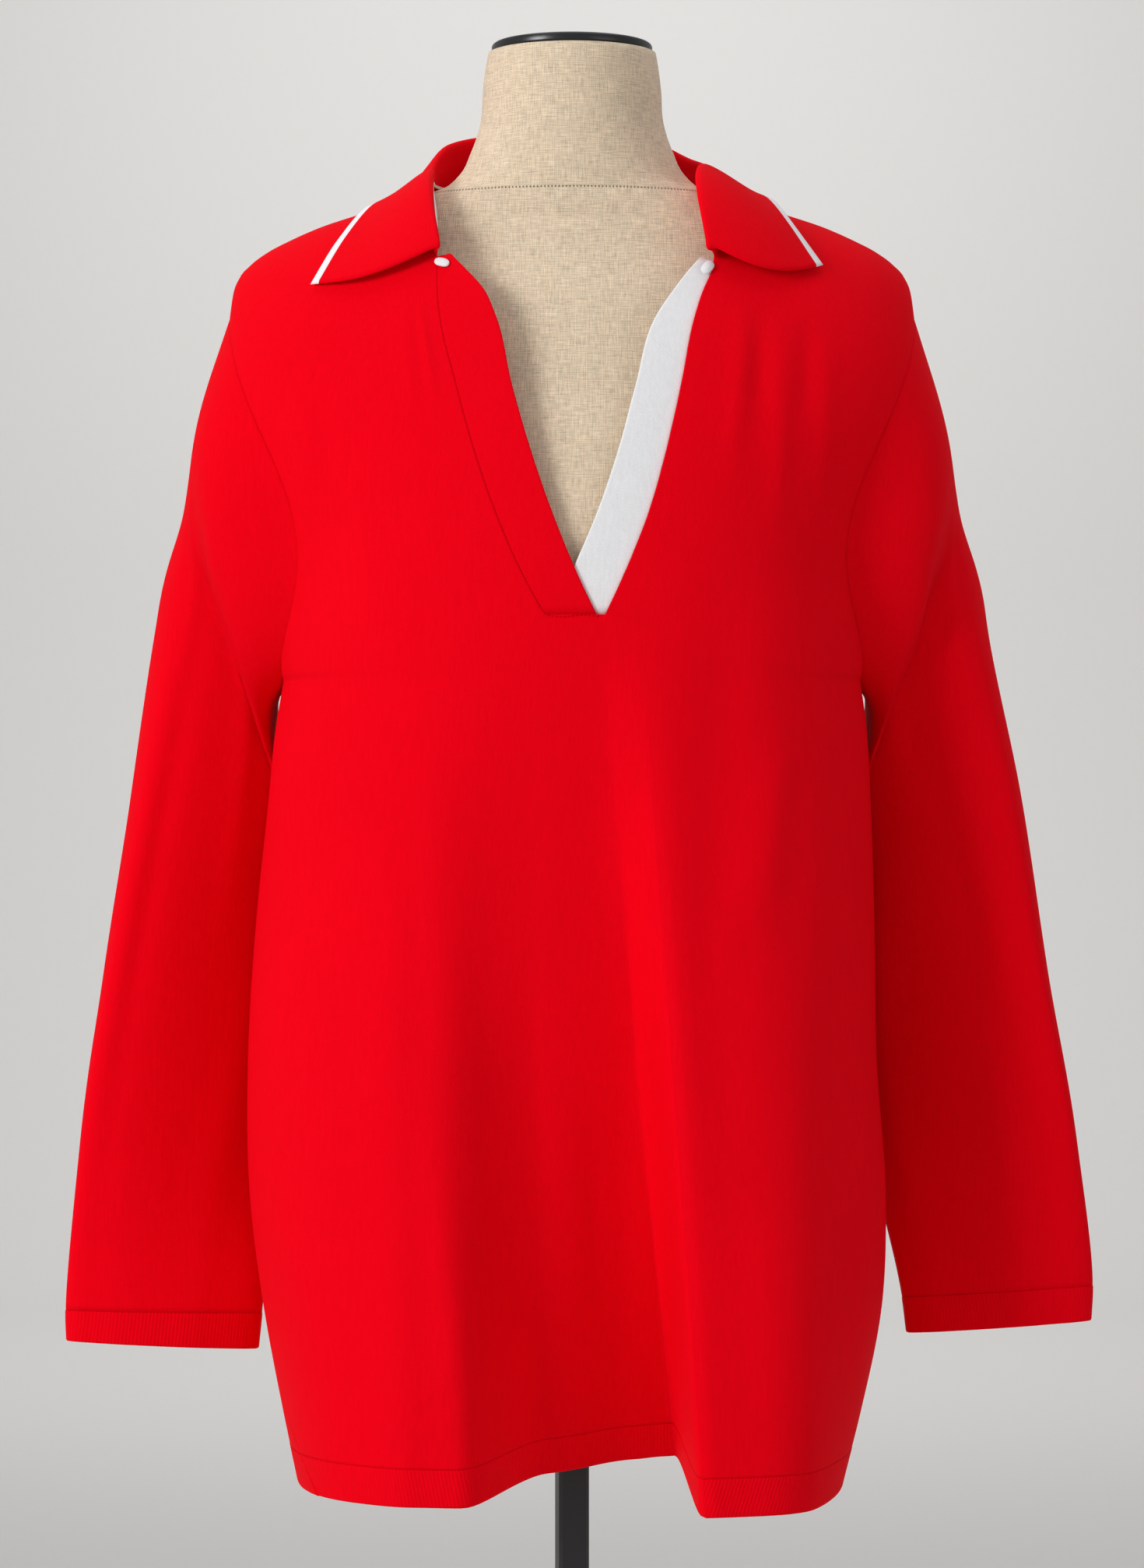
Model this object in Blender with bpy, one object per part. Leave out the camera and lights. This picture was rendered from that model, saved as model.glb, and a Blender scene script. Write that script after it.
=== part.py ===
"""Knitted sweater with an open polo collar, on a limbless dress form and its stand.

Metres, +Z up. The front faces -Y and +X is the viewer's right. The origin is the
middle of the stand's underside. Each piece of cloth is a closed wall: a grid of
points on the middle of the cloth, moved out and in by half of its thickness.

The body is made of rings below the arms. Above them it is made of levels: level 0
is the underarm ring and level 1 is the shoulder seam. A place on the upper body is
its x and its level, and the front and the back each have their own depth there.
"""

import bpy
import numpy as np

# Cloth thicknesses, and the gap at every seam
KNIT = 0.0018
RIB = 0.0022
COLLAR_KNIT = 0.0020
TAPE = 0.0010
SEAM_GAP = 0.00035

# Heights of the body
HEM_Z = 0.660
HEM_BAND = 0.021
UNDERARM_Z = 1.122
OPENING_Z = 1.157

# Curvature powers of the upper body: across it, and from chest to shoulder
ACROSS = 2.4
UPWARD = {"front": 2.2, "back": 2.8}

# Neck and collar
NECK_HALF = 0.082
NAPE_DEPTH = 0.070
NAPE_RISE = 0.035
COLLAR_FRONT_LEVEL = 0.825
COLLAR_FOOT = 0.0022
TAPE_WIDTH = 0.0090
TAPE_COLUMNS = 30

# Grid sizes
BODY_ROWS = 14
UPPER_ROWS = 10
SLEEVE_ROWS = 14
FRONT_COLUMNS = (8, 4, 3, 5, 7)
BACK_COLUMNS = (5, 8, 5)
COLLAR_COLUMNS = 50

# Dress form and stand
FORM_SIDES = 32
CAP_RADIUS = 0.0475
CAP_HEIGHT = 0.0055
NECK_TOP_Z = 1.4930
POLE_SIDE = 0.018
POLE_CORNER = 0.002
POLE_TURN = 9.5
BASE_RADIUS = 0.180
BASE_EDGE = 0.008
BASE_MIDDLE = 0.014

RED = (0.68, 0.004, 0.012)
WHITE = (0.80, 0.79, 0.80)
LINEN = (0.42, 0.33, 0.23)
BLACK = (0.012, 0.012, 0.013)
STEEL = (0.10, 0.10, 0.10)


def table(names, *rows):
    """Named columns of numbers: a dictionary of arrays."""
    columns = np.array(rows, float).T
    return dict(zip(names.split(), columns))


# Rings of the body, from the hem up: half-widths to the left and right, depths to
# the front and back, the powers that square each quarter off, and the degrees by
# which each side seam has swung to the front.
BODY = table(
    "z left right front back n_left n_right n_back seam_left seam_right",
    (0.660, 0.159, 0.156, 0.155, 0.130, 3.4, 4.0, 2.6, 34, 4),
    (0.700, 0.168, 0.167, 0.154, 0.128, 3.2, 3.7, 2.6, 20, 3),
    (0.760, 0.180, 0.180, 0.152, 0.125, 2.9, 3.3, 2.5, 6, 1),
    (0.820, 0.188, 0.183, 0.149, 0.122, 2.7, 2.9, 2.5, 0, 0),
    (0.900, 0.1895, 0.178, 0.144, 0.118, 2.6, 2.7, 2.5, 0, 0),
    (0.980, 0.185, 0.177, 0.139, 0.114, 2.5, 2.5, 2.5, 0, 0),
    (1.050, 0.178, 0.175, 0.136, 0.111, 2.4, 2.4, 2.4, 0, 0),
    (1.095, 0.1735, 0.1725, 0.1345, 0.109, 2.4, 2.4, 2.4, 0, 0),
    (1.122, 0.1690, 0.1690, 0.134, 0.108, 2.4, 2.4, 2.4, 0, 0),
)

# Folds of the front. Each starts at the foot of the opening and is deepest at the
# hem. A fold lies between a left and a right slope, each given by its start at the
# top, its start at the hem and its width. A depth below zero stands out.
FRONT_FOLDS = table(
    "left_top left_low left_width right_top right_low right_width depth",
    (-0.080, -0.062, 0.048, 0.022, 0.060, 0.013, 0.062),
    (-0.040, -0.030, 0.085, 0.022, 0.060, 0.013, 0.038),
    (0.022, 0.060, 0.013, 0.120, 0.130, 0.030, -0.017),
)
FOLD_GROWTH = 1.25
HEM_LIFT = 0.14

# Soft folds of the back: middle at the top and at the hem, half-width, depth.
BACK_FOLDS = table(
    "top low half depth",
    (-0.080, -0.092, 0.052, 0.018),
    (-0.010, 0.010, 0.055, 0.024),
    (0.072, 0.098, 0.050, 0.017),
)
BACK_FOLD_Z = 1.24

# Lines that columns of the front follow, at the opening's foot and at the hem: the
# top and the foot of the left slope, and the foot and the top of the right one.
FRONT_LINES = table(
    "top low",
    (-0.046, -0.062),
    (-0.0144, -0.014),
    (0.0180, 0.060),
    (0.0380, 0.074),
)

# The shoulder seam, from the neck's middle out to the dropped armhole.
SHOULDER = table(
    "x z",
    (0.0000, 1.4240),
    (0.0500, 1.4205),
    (0.0820, 1.4130),
    (0.1200, 1.3985),
    (0.1500, 1.3885),
    (0.1660, 1.3815),
    (0.1795, 1.3745),
    (0.1895, 1.3670),
    (0.1955, 1.3600),
    (0.1990, 1.3505),
    (0.2008, 1.3370),
)

# Edges of the front opening: the free edge and the seam of the top placket on the
# left, and the seam and the free edge of the under placket on the right.
OPENING = table(
    "z free_left seam_left seam_right free_right",
    (1.1555, 0.0145, -0.0144, 0.0180, -0.0100),
    (1.1787, 0.0035, -0.0270, 0.0288, -0.0010),
    (1.2143, -0.0110, -0.0425, 0.0430, 0.0140),
    (1.2506, -0.0234, -0.0550, 0.0533, 0.0262),
    (1.2868, -0.0337, -0.0650, 0.0615, 0.0358),
    (1.3285, -0.0435, -0.0750, 0.0700, 0.0480),
    (1.3440, -0.0505, -0.0765, 0.0750, 0.0580),
    (1.3557, -0.0605, -0.0768, 0.0800, 0.0665),
    (1.3650, -0.0690, -0.0772, 0.0815, 0.0740),
    (1.4130, -0.0750, -0.0820, 0.0820, 0.0780),
)

# Sections of the sleeves, from the armhole to the cuff's end: the outer edge, the
# inner edge, and how far the front and the back stand off the line between them.
# x is counted outwards from the middle of the body.
SLEEVE_COLUMNS = "w outer_x outer_y outer_z inner_x inner_y inner_z front back"
SLEEVES = {
    "left": table(
        SLEEVE_COLUMNS,
        (0.00, 0.2008, 0.000, 1.3370, 0.1690, 0.000, 1.1220, 0.062, 0.058),
        (0.08, 0.2165, 0.002, 1.2880, 0.1770, 0.017, 1.1060, 0.060, 0.057),
        (0.18, 0.2290, -0.001, 1.2320, 0.1770, 0.041, 1.0680, 0.0435, 0.053),
        (0.25, 0.2340, -0.008, 1.1960, 0.1785, 0.062, 1.0380, 0.0325, 0.050),
        (0.32, 0.2402, -0.006, 1.1600, 0.1795, 0.069, 1.0100, 0.0285, 0.046),
        (0.50, 0.2568, 0.000, 1.0600, 0.1815, 0.074, 0.9400, 0.021, 0.042),
        (0.70, 0.2755, 0.002, 0.9500, 0.1800, 0.074, 0.8750, 0.018, 0.036),
        (0.86, 0.2895, 0.003, 0.8500, 0.1850, 0.056, 0.8100, 0.016, 0.026),
        (0.965, 0.2990, 0.005, 0.7505, 0.1865, 0.034, 0.7455, 0.016, 0.018),
        (1.00, 0.2985, 0.005, 0.7325, 0.1885, 0.032, 0.7245, 0.016, 0.018),
    ),
    "right": table(
        SLEEVE_COLUMNS,
        (0.00, 0.2008, 0.000, 1.3370, 0.1690, 0.000, 1.1220, 0.062, 0.058),
        (0.08, 0.2155, 0.002, 1.2880, 0.1770, 0.016, 1.1060, 0.060, 0.057),
        (0.18, 0.2285, -0.001, 1.2320, 0.1755, 0.041, 1.0680, 0.0435, 0.053),
        (0.25, 0.2335, -0.008, 1.1960, 0.1765, 0.062, 1.0380, 0.0325, 0.050),
        (0.32, 0.2397, -0.006, 1.1600, 0.1760, 0.068, 1.0100, 0.0280, 0.046),
        (0.50, 0.2612, 0.000, 1.0600, 0.1755, 0.072, 0.9400, 0.023, 0.042),
        (0.70, 0.2785, 0.002, 0.9500, 0.1760, 0.074, 0.8800, 0.018, 0.036),
        (0.86, 0.2975, 0.003, 0.8500, 0.1850, 0.056, 0.8200, 0.016, 0.026),
        (0.965, 0.3075, 0.005, 0.7650, 0.1985, 0.034, 0.7550, 0.016, 0.018),
        (1.00, 0.3065, 0.005, 0.7445, 0.2010, 0.032, 0.7340, 0.016, 0.018),
    ),
}
CUFF_START = 0.965
ARMHOLE_BOW = 0.042
UNDERARM_LEAN = (0.35, 0, -0.94)

# The collar, at stations from its left front end (0) round the nape to its right
# front end (1): the height of its stand, how far the stand leans in, where its outer
# edge lies as seen from the front or the back, how high that edge is over the panel,
# how much the fall bulges and sags on its way there, the share of the stand's
# height that it still has halfway, and where the roll lies between the seam (0) and
# the outer edge (1); under 0 it leans over the neck.
COLLAR = table(
    "at stand lean edge_x edge_z lift bulge sag mid roll",
    (0.00, 0.0055, 0.0000, -0.1490, 1.3480, 0.0035, 0.0010, -0.020, 0.45, 0.00),
    (0.10, 0.0085, 0.0010, -0.1340, 1.3760, 0.0030, 0.0008, -0.008, 0.20, 0.05),
    (0.20, 0.0090, 0.0020, -0.1150, 1.4010, 0.0030, 0.0008, 0.000, 0.15, 0.05),
    (0.30, 0.0290, 0.0030, -0.1020, 1.3920, 0.0045, 0.0030, 0.000, 0.25, 0.05),
    (0.40, 0.0360, 0.0035, -0.0600, 1.3980, 0.0050, 0.0050, 0.000, 0.42, 0.05),
    (0.50, 0.0370, 0.0035, 0.0000, 1.3990, 0.0050, 0.0050, 0.000, 0.45, 0.05),
    (0.60, 0.0340, 0.0035, 0.0600, 1.3980, 0.0050, 0.0050, 0.000, 0.42, 0.05),
    (0.70, 0.0190, 0.0030, 0.1020, 1.3920, 0.0060, 0.0030, 0.000, 0.15, 0.03),
    (0.80, 0.0090, 0.0020, 0.1120, 1.4020, 0.0065, 0.0000, 0.000, 0.00, -0.04),
    (0.90, 0.0115, 0.0010, 0.1290, 1.3800, 0.0045, 0.0020, -0.008, 0.25, -0.22),
    (1.00, 0.0070, 0.0000, 0.1434, 1.3595, 0.0035, 0.0010, -0.030, 0.45, -0.05),
)
COLLAR_TURN = 0.2

# Rings of the dress form, from its underside up to the top of its neck.
FORM = table(
    "z half front back power",
    (0.9000, 0.112, 0.072, 0.072, 2.2),
    (0.9030, 0.128, 0.084, 0.084, 2.2),
    (0.9150, 0.136, 0.092, 0.092, 2.2),
    (0.9600, 0.130, 0.092, 0.090, 2.2),
    (1.0300, 0.118, 0.090, 0.084, 2.2),
    (1.0900, 0.132, 0.104, 0.089, 2.2),
    (1.1400, 0.146, 0.121, 0.094, 2.2),
    (1.1800, 0.150, 0.125, 0.097, 2.2),
    (1.2300, 0.154, 0.118, 0.098, 2.3),
    (1.2800, 0.164, 0.103, 0.090, 2.2),
    (1.3200, 0.173, 0.087, 0.079, 2.1),
    (1.3450, 0.1725, 0.075, 0.070, 2.0),
    (1.3600, 0.170, 0.067, 0.065, 2.0),
    (1.3750, 0.162, 0.060, 0.061, 2.0),
    (1.3850, 0.1512, 0.057, 0.058, 2.0),
    (1.3900, 0.1385, 0.055, 0.057, 2.0),
    (1.3950, 0.1243, 0.0545, 0.056, 2.0),
    (1.4000, 0.1105, 0.054, 0.056, 2.0),
    (1.4050, 0.0975, 0.053, 0.0555, 2.0),
    (1.4090, 0.0870, 0.0525, 0.0555, 2.0),
    (1.4130, 0.0765, 0.052, 0.055, 2.0),
    (1.4200, 0.0680, 0.052, 0.055, 2.0),
    (1.4350, 0.0600, 0.051, 0.057, 2.0),
    (1.4520, 0.0545, 0.051, 0.056, 2.0),
    (1.4720, 0.0530, 0.050, 0.055, 2.0),
    (1.4860, 0.0512, 0.049, 0.053, 2.0),
    (1.4930, 0.0500, 0.048, 0.052, 2.0),
)


def through(at, values, x):
    """A smooth curve through the points (at, values), read at x: a cubic on each
    span, whose slopes are the weighted means of the slopes of the spans beside it."""
    x = np.clip(np.asarray(x, float), at[0], at[-1])
    span = np.diff(at)
    rise = np.diff(values) / span
    slope = np.empty_like(values)
    slope[1:-1] = (rise[:-1] * span[1:] + rise[1:] * span[:-1]) / (span[:-1] + span[1:])
    slope[0] = rise[0]
    slope[-1] = rise[-1]
    i = np.clip(np.searchsorted(at, x, side="right") - 1, 0, len(span) - 1)
    t = (x - at[i]) / span[i]
    low = values[i] + span[i] * slope[i] * t * (1 - t) ** 2 - values[i] * t**2 * (3 - 2 * t)
    high = values[i + 1] * t**2 * (3 - 2 * t) - span[i] * slope[i + 1] * t**2 * (1 - t)
    return low + high


def ease(t):
    """0 before t = 0, 1 after t = 1, and smooth between."""
    t = np.clip(t, 0, 1)
    return t * t * (3 - 2 * t)


def unit(v):
    """The vectors v, each of length 1."""
    return v / np.maximum(np.linalg.norm(v, axis=-1, keepdims=True), 1e-12)


def fallen(z):
    """0 at the foot of the opening, 1 at the hem."""
    return np.clip((OPENING_Z - z) / (OPENING_Z - HEM_Z), 0, 1)


def front_recess(x, z):
    """How far the folds set the front back at x and height z."""
    down = fallen(z)
    deep = np.zeros(np.broadcast(x, z).shape)
    for row in zip(*FRONT_FOLDS.values()):
        left_top, left_low, left_width, right_top, right_low, right_width, depth = row
        left = left_top + (left_low - left_top) * down
        right = right_top + (right_low - right_top) * down
        between = ease((x - left) / left_width) * (1 - ease((x - right) / right_width))
        deep += depth * between * down**FOLD_GROWTH
    return deep


def back_recess(x, z):
    """How far the folds set the back forward at x and height z."""
    down = np.clip((BACK_FOLD_Z - z) / (BACK_FOLD_Z - HEM_Z), 0, 1)
    deep = np.zeros(np.broadcast(x, z).shape)
    for top, low, half, depth in zip(*BACK_FOLDS.values()):
        middle = top + (low - top) * down
        deep += depth * ease(1 - np.abs(x - middle) / half) * down**1.3
    return deep


def ring(z, angles):
    """Points of the body's ring at height z. Angle 0 is the right side, 90 degrees
    is the front and 270 degrees is the back."""
    size = {name: through(BODY["z"], BODY[name], z) for name in BODY}
    cos, sin = np.cos(angles), np.sin(angles)
    to_right, to_front = cos > 0, sin > 0
    front_power = np.where(to_right, size["n_right"], size["n_left"])
    power = np.where(to_front, front_power, size["n_back"])
    half = np.where(to_right, size["right"], -size["left"])
    x = half * np.abs(cos) ** (2 / power)
    depth = np.where(to_front, -size["front"], size["back"])
    y = depth * np.abs(sin) ** (2 / power)
    inside = ease(np.abs(sin) / 0.35)
    recess = np.where(to_front, front_recess(x, z), 0) * inside
    y += recess - np.where(to_front, 0, back_recess(x, z)) * inside
    lift = HEM_LIFT * recess * np.clip((UNDERARM_Z - z) / (UNDERARM_Z - HEM_Z), 0, 1)
    return np.stack([x, y, z + lift], axis=-1)


def spaced(points, stops, counts):
    """Points spaced evenly along a line between the stops, which are lengths on it."""
    run = np.concatenate([[0], np.cumsum(np.linalg.norm(np.diff(points, axis=0), axis=1))])
    places = [np.linspace(a, b, n, endpoint=False) for a, b, n in zip(stops, stops[1:], counts)]
    places = np.concatenate(places + [[stops[-1]]])
    return np.stack([np.interp(places, run, points[:, k]) for k in range(3)], axis=-1)


def run_at(points, x):
    """The length along a line of points at which it passes each x."""
    run = np.concatenate([[0], np.cumsum(np.linalg.norm(np.diff(points, axis=0), axis=1))])
    return np.interp(x, points[:, 0], run), run[-1]


def front_lines(z):
    """x of the lines that the front's columns follow, at height z."""
    return FRONT_LINES["top"] + (FRONT_LINES["low"] - FRONT_LINES["top"]) * fallen(z)


def front_ring(z):
    """The front's row at height z, from the left side seam to the right one."""
    left = np.pi - np.radians(through(BODY["z"], BODY["seam_left"], z))
    right = np.radians(through(BODY["z"], BODY["seam_right"], z))
    points = ring(z, np.linspace(left, right, 900))
    stops, end = run_at(points, front_lines(z))
    return spaced(points, [0, *stops, end], FRONT_COLUMNS)


def back_ring(z):
    """The back's row at height z, from the left side seam to the right one."""
    left = np.pi - np.radians(through(BODY["z"], BODY["seam_left"], z))
    right = 2 * np.pi + np.radians(through(BODY["z"], BODY["seam_right"], z))
    points = ring(z, np.linspace(left, right, 900))
    turn = points[:, 1] > 0
    stops, _ = run_at(points[turn], [-NECK_HALF, NECK_HALF])
    before = np.linalg.norm(np.diff(points[: np.argmax(turn) + 1], axis=0), axis=1).sum()
    end = np.linalg.norm(np.diff(points, axis=0), axis=1).sum()
    return spaced(points, [0, *(stops + before), end], BACK_COLUMNS)


def sleeve_middle(rows, w):
    """The middle of a sleeve's section at w."""
    ends = [[through(rows["w"], rows[end + axis], w) for axis in "xyz"]
            for end in ("outer_", "inner_")]
    return np.mean(ends, axis=0)


def sleeve_section(side, w, angles):
    """One section of a sleeve. Angle 0 is its outer edge, 90 degrees its front,
    180 degrees its inner edge and 270 degrees its back. At the armhole (w = 0) the
    line bows in towards the chest, low on the front and the back."""
    rows = SLEEVES[side]
    at = {name: through(rows["w"], rows[name], w) for name in rows}
    outer = np.array([at["outer_" + axis] for axis in "xyz"])
    inner = np.array([at["inner_" + axis] for axis in "xyz"])
    down = sleeve_middle(rows, min(w + 0.03, 1)) - sleeve_middle(rows, max(w - 0.03, 0))
    half = (outer - inner) / 2
    off = unit(np.cross(half, down))
    turned = ease(w / 0.3)
    off = unit(-off * np.sign(off[1]) * turned + np.array([0, -1, 0]) * (1 - turned))
    cos, sin = np.cos(angles), np.sin(angles)
    depth = np.where(sin > 0, at["front"], at["back"]) * sin
    points = (outer + inner) / 2 + half * cos[:, None] + off * depth[:, None]
    points[:, 0] -= ARMHOLE_BOW * (1 - ease(w / 0.14)) * sin**4 * (1 - cos) / 2
    return points * np.array([-1 if side == "left" else 1, 1, 1])


def depth_share(level, face):
    """The share of the chest's depth that is left at a level of the upper body."""
    return (1 - np.clip(level, 0, 1) ** UPWARD[face]) ** (1 / UPWARD[face])


def level_of(share, face):
    """The level at which a share of the chest's depth is left."""
    return (1 - np.clip(share, 0, 1) ** UPWARD[face]) ** (1 / UPWARD[face])


def shoulder_z(x, face):
    """Height of the shoulder seam at x. On the back it rises behind the neck."""
    z = through(SHOULDER["x"], SHOULDER["z"], np.abs(x))
    if face == "back":
        z = z + NAPE_RISE * (1 - np.minimum(np.abs(x) / NECK_HALF, 1) ** 2) ** 2
    return z


def armhole(side, face):
    """The armhole's line on one face: for a row of angles, its points, its levels,
    and the half-width that a level's ring has if it passes through that point."""
    bend = np.linspace(0, np.pi, 241)
    angles = bend if face == "front" else 2 * np.pi - bend
    points = sleeve_section(side, 0, angles)
    top = shoulder_z(points[:, 0], face)
    level = np.clip((points[:, 2] - UNDERARM_Z) / (top - UNDERARM_Z), 0, 1)
    level[0], level[-1] = 1, 0
    depth = CHEST[face] * depth_share(level, face)
    ratio = np.abs(points[:, 1]) / np.maximum(depth, 1e-9)
    ratio[0] = ratio[1]
    half = np.abs(points[:, 0]) / (1 - np.minimum(ratio, 0.95) ** ACROSS) ** (1 / ACROSS)
    return {"angle": angles[::-1], "level": level[::-1], "half": half[::-1], "point": points[::-1]}


CHEST = {"front": BODY["front"][-1], "back": BODY["back"][-1]}
ARMHOLES = {(side, face): armhole(side, face) for side in SLEEVES for face in CHEST}


def edge_angle(side, face, level):
    """The angle of the armhole's line at a level."""
    hole = ARMHOLES[side, face]
    return np.interp(level, hole["level"], hole["angle"])


def upper(x, level, face):
    """A point of the upper body's front or back at x and level."""
    x, level = np.broadcast_arrays(np.asarray(x, float), np.asarray(level, float))
    halves = [np.interp(level, ARMHOLES[s, face]["level"], ARMHOLES[s, face]["half"])
              for s in ("left", "right")]
    half = np.where(x < 0, halves[0], halves[1])
    z = UNDERARM_Z + (shoulder_z(x, face) - UNDERARM_Z) * level
    across = (1 - np.minimum(np.abs(x) / half, 1) ** ACROSS) ** (1 / ACROSS)
    depth = CHEST[face] * depth_share(level, face) * across
    if face == "front":
        y = -depth + front_recess(x, z)
    else:
        y = depth - back_recess(x, z)
    return np.stack([x, y, z], axis=-1)


def opening_x(name, level):
    """x of one of the opening's lines at a level of the front."""
    x = np.zeros(np.shape(level))
    for _ in range(8):
        z = UNDERARM_Z + (shoulder_z(x, "front") - UNDERARM_Z) * level
        x = through(OPENING["z"], OPENING[name], z)
    return x


def nape_level(x):
    """The level of the back's top edge: the shoulder seam, or the back neckline."""
    inside = np.clip(np.abs(x) / NECK_HALF, 0, 1)
    depth = NAPE_DEPTH * np.sqrt(1 - inside**2)
    return level_of(depth / CHEST["back"], "back")


OPENING_LEVEL = (OPENING_Z - UNDERARM_Z) / (SHOULDER["z"][0] - UNDERARM_Z)
RISE = np.sin(np.linspace(0, np.pi / 2, UPPER_ROWS + 1))
FRONT_LEVELS = np.concatenate([[0, OPENING_LEVEL / 2], OPENING_LEVEL + (1 - OPENING_LEVEL) * RISE])
COLLAR_ROW = np.argmin(np.abs(FRONT_LEVELS - COLLAR_FRONT_LEVEL))
FRONT_LEVELS[COLLAR_ROW] = COLLAR_FRONT_LEVEL
BACK_LEVELS = np.concatenate([[0], 0.08 + 0.92 * RISE])


def armhole_point(side, face, level):
    """The point where a level's row ends at the armhole."""
    return sleeve_section(side, 0, np.array([edge_angle(side, face, level)]))[0]


def upper_row(face, level, inner, counts):
    """A row of the upper body at a level, through inner x values, ending at the
    armholes, with points evenly spaced along the cloth between those places."""
    ends = [armhole_point(side, face, level) for side in ("left", "right")]
    x = np.linspace(ends[0][0], ends[1][0], 1201)
    height = level * nape_level(x) if face == "back" else level
    points = upper(x, height, face)
    stops, end = run_at(points, inner)
    row = spaced(points, [0, *stops, end], counts)
    row[0], row[-1] = ends
    return row


def front_grid():
    """The front's middle surface, from the top of the hem band to the shoulders, and
    which of its cells are cloth: those of the open slot aren't."""
    heights = np.linspace(HEM_Z + HEM_BAND, UNDERARM_Z, BODY_ROWS, endpoint=False)
    rows = [front_ring(z) for z in heights]
    for level in FRONT_LEVELS:
        seam_left, seam_right = opening_x("seam_left", level), opening_x("seam_right", level)
        if level < OPENING_LEVEL:
            inner = front_lines(UNDERARM_Z + level * (SHOULDER["z"][0] - UNDERARM_Z))
        else:
            side = 0.030 * (1 - 0.6 * level)
            inner = [seam_left - side, seam_left, seam_right, seam_right + 0.6 * side]
        rows.append(upper_row("front", level, inner, FRONT_COLUMNS))
    grid = np.array(rows)
    cloth = np.ones((grid.shape[0] - 1, grid.shape[1] - 1), bool)
    first = FRONT_COLUMNS[0] + FRONT_COLUMNS[1]
    cloth[BODY_ROWS + 2:, first:first + FRONT_COLUMNS[2]] = False
    return grid, cloth


def back_grid():
    """The back's middle surface, from the top of the hem band to its top edge."""
    heights = np.linspace(HEM_Z + HEM_BAND, UNDERARM_Z, BODY_ROWS, endpoint=False)
    rows = [back_ring(z) for z in heights]
    for level in BACK_LEVELS:
        rows.append(upper_row("back", level, [-NECK_HALF, NECK_HALF], BACK_COLUMNS))
    return np.array(rows)


def band_grid(row_of):
    """A hem band's middle surface."""
    return np.array([row_of(z) for z in np.linspace(HEM_Z, HEM_Z + HEM_BAND, 3)])


def sleeve_angles(side):
    """The angles of a sleeve's lines: one for each row of the front and of the back,
    so that the sleeve meets them point by point."""
    front = edge_angle(side, "front", FRONT_LEVELS)[::-1]
    back = edge_angle(side, "back", BACK_LEVELS)
    return np.concatenate([front, back[1:-1]])


def sleeve_grid(side, start, end, rows):
    """A sleeve's or a cuff's middle surface."""
    angles = sleeve_angles(side)
    return np.array([sleeve_section(side, w, angles) for w in np.linspace(start, end, rows + 1)])


def cells(shape, cloth, loop):
    """Corner numbers of the grid's cells that are cloth."""
    number = np.arange(shape[0] * shape[1]).reshape(shape[:2])
    right = np.roll(number, -1, axis=1)
    if not loop:
        number, right = number[:, :-1], right[:, :-1]
    quads = np.stack([number[:-1], right[:-1], right[1:], number[1:]], axis=-1)
    return quads[cloth] if cloth is not None else quads.reshape(-1, 4)


def grid_normals(grid, quads):
    """The outward direction at each point: the mean of the cells round it."""
    points = grid.reshape(-1, 3)
    a, b, c, d = (points[quads[:, k]] for k in range(4))
    across = np.cross(c - a, d - b)
    normals = np.zeros_like(points)
    for k in range(4):
        np.add.at(normals, quads[:, k], across)
    return unit(normals).reshape(grid.shape)


def material(name, colour, roughness, metallic=0.0):
    """A plain finish, made once."""
    finish = bpy.data.materials.get(name) or bpy.data.materials.new(name)
    finish.use_nodes = True
    shader = finish.node_tree.nodes["Principled BSDF"]
    shader.inputs["Base Color"].default_value = (*colour, 1)
    shader.inputs["Roughness"].default_value = roughness
    shader.inputs["Metallic"].default_value = metallic
    return finish


def solid(name, points, faces, finish):
    """A closed solid from points and faces."""
    mesh = bpy.data.meshes.new(name)
    mesh.from_pydata(np.asarray(points).tolist(), [], [list(map(int, f)) for f in faces])
    mesh.materials.append(finish)
    mesh.shade_smooth()
    made = bpy.data.objects.new(name, mesh)
    bpy.context.scene.collection.objects.link(made)
    return made


def split(quads, points):
    """The quads as triangles, each cut along its shorter diagonal."""
    a, b, c, d = (points[quads[:, k]] for k in range(4))
    first = np.linalg.norm(c - a, axis=1) <= np.linalg.norm(d - b, axis=1)
    turned = np.where(first[:, None], quads, np.roll(quads, -1, axis=1))
    return np.concatenate([turned[:, [0, 1, 2]], turned[:, [0, 2, 3]]])


def wall(name, grid, thick, finish, cloth=None, loop=False, normals=None):
    """A closed wall of cloth round a grid of points on its middle. Both faces of the
    cloth are cut into the same triangles. Each edge of the grid that only one cell
    has is closed by a rim."""
    quads = cells(grid.shape, cloth, loop)
    if normals is None:
        normals = grid_normals(grid, quads)
    middle = grid.reshape(-1, 3)
    off = normals.reshape(-1, 3) * thick / 2
    total = len(middle)
    points = np.concatenate([middle + off, middle - off])
    edges = np.concatenate([quads[:, [k, (k + 1) % 4]] for k in range(4)])
    lone = ~np.isin(edges[:, 0] * total + edges[:, 1], edges[:, 1] * total + edges[:, 0])
    rim = edges[lone]
    rims = np.stack([rim[:, 1], rim[:, 0], rim[:, 0] + total, rim[:, 1] + total], axis=-1)
    sheet = split(quads, middle)
    faces = np.concatenate([sheet, sheet[:, ::-1] + total, split(rims, points)])
    used, faces = np.unique(faces, return_inverse=True)
    return solid(name, points[used], faces.reshape(-1, 3), finish)


def join_rows(upper_part, lower_part):
    """Opens a level seam between two pieces, each a (grid, normals): the first's
    lowest row from the second's highest. Both rims get the same lean."""
    (top, top_lean), (bottom, bottom_lean) = upper_part, lower_part
    lean = unit(top_lean[0] + bottom_lean[-1])
    top_lean[0], bottom_lean[-1] = lean, lean
    top[0, :, 2] += SEAM_GAP / 2
    bottom[-1, :, 2] -= SEAM_GAP / 2


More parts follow.
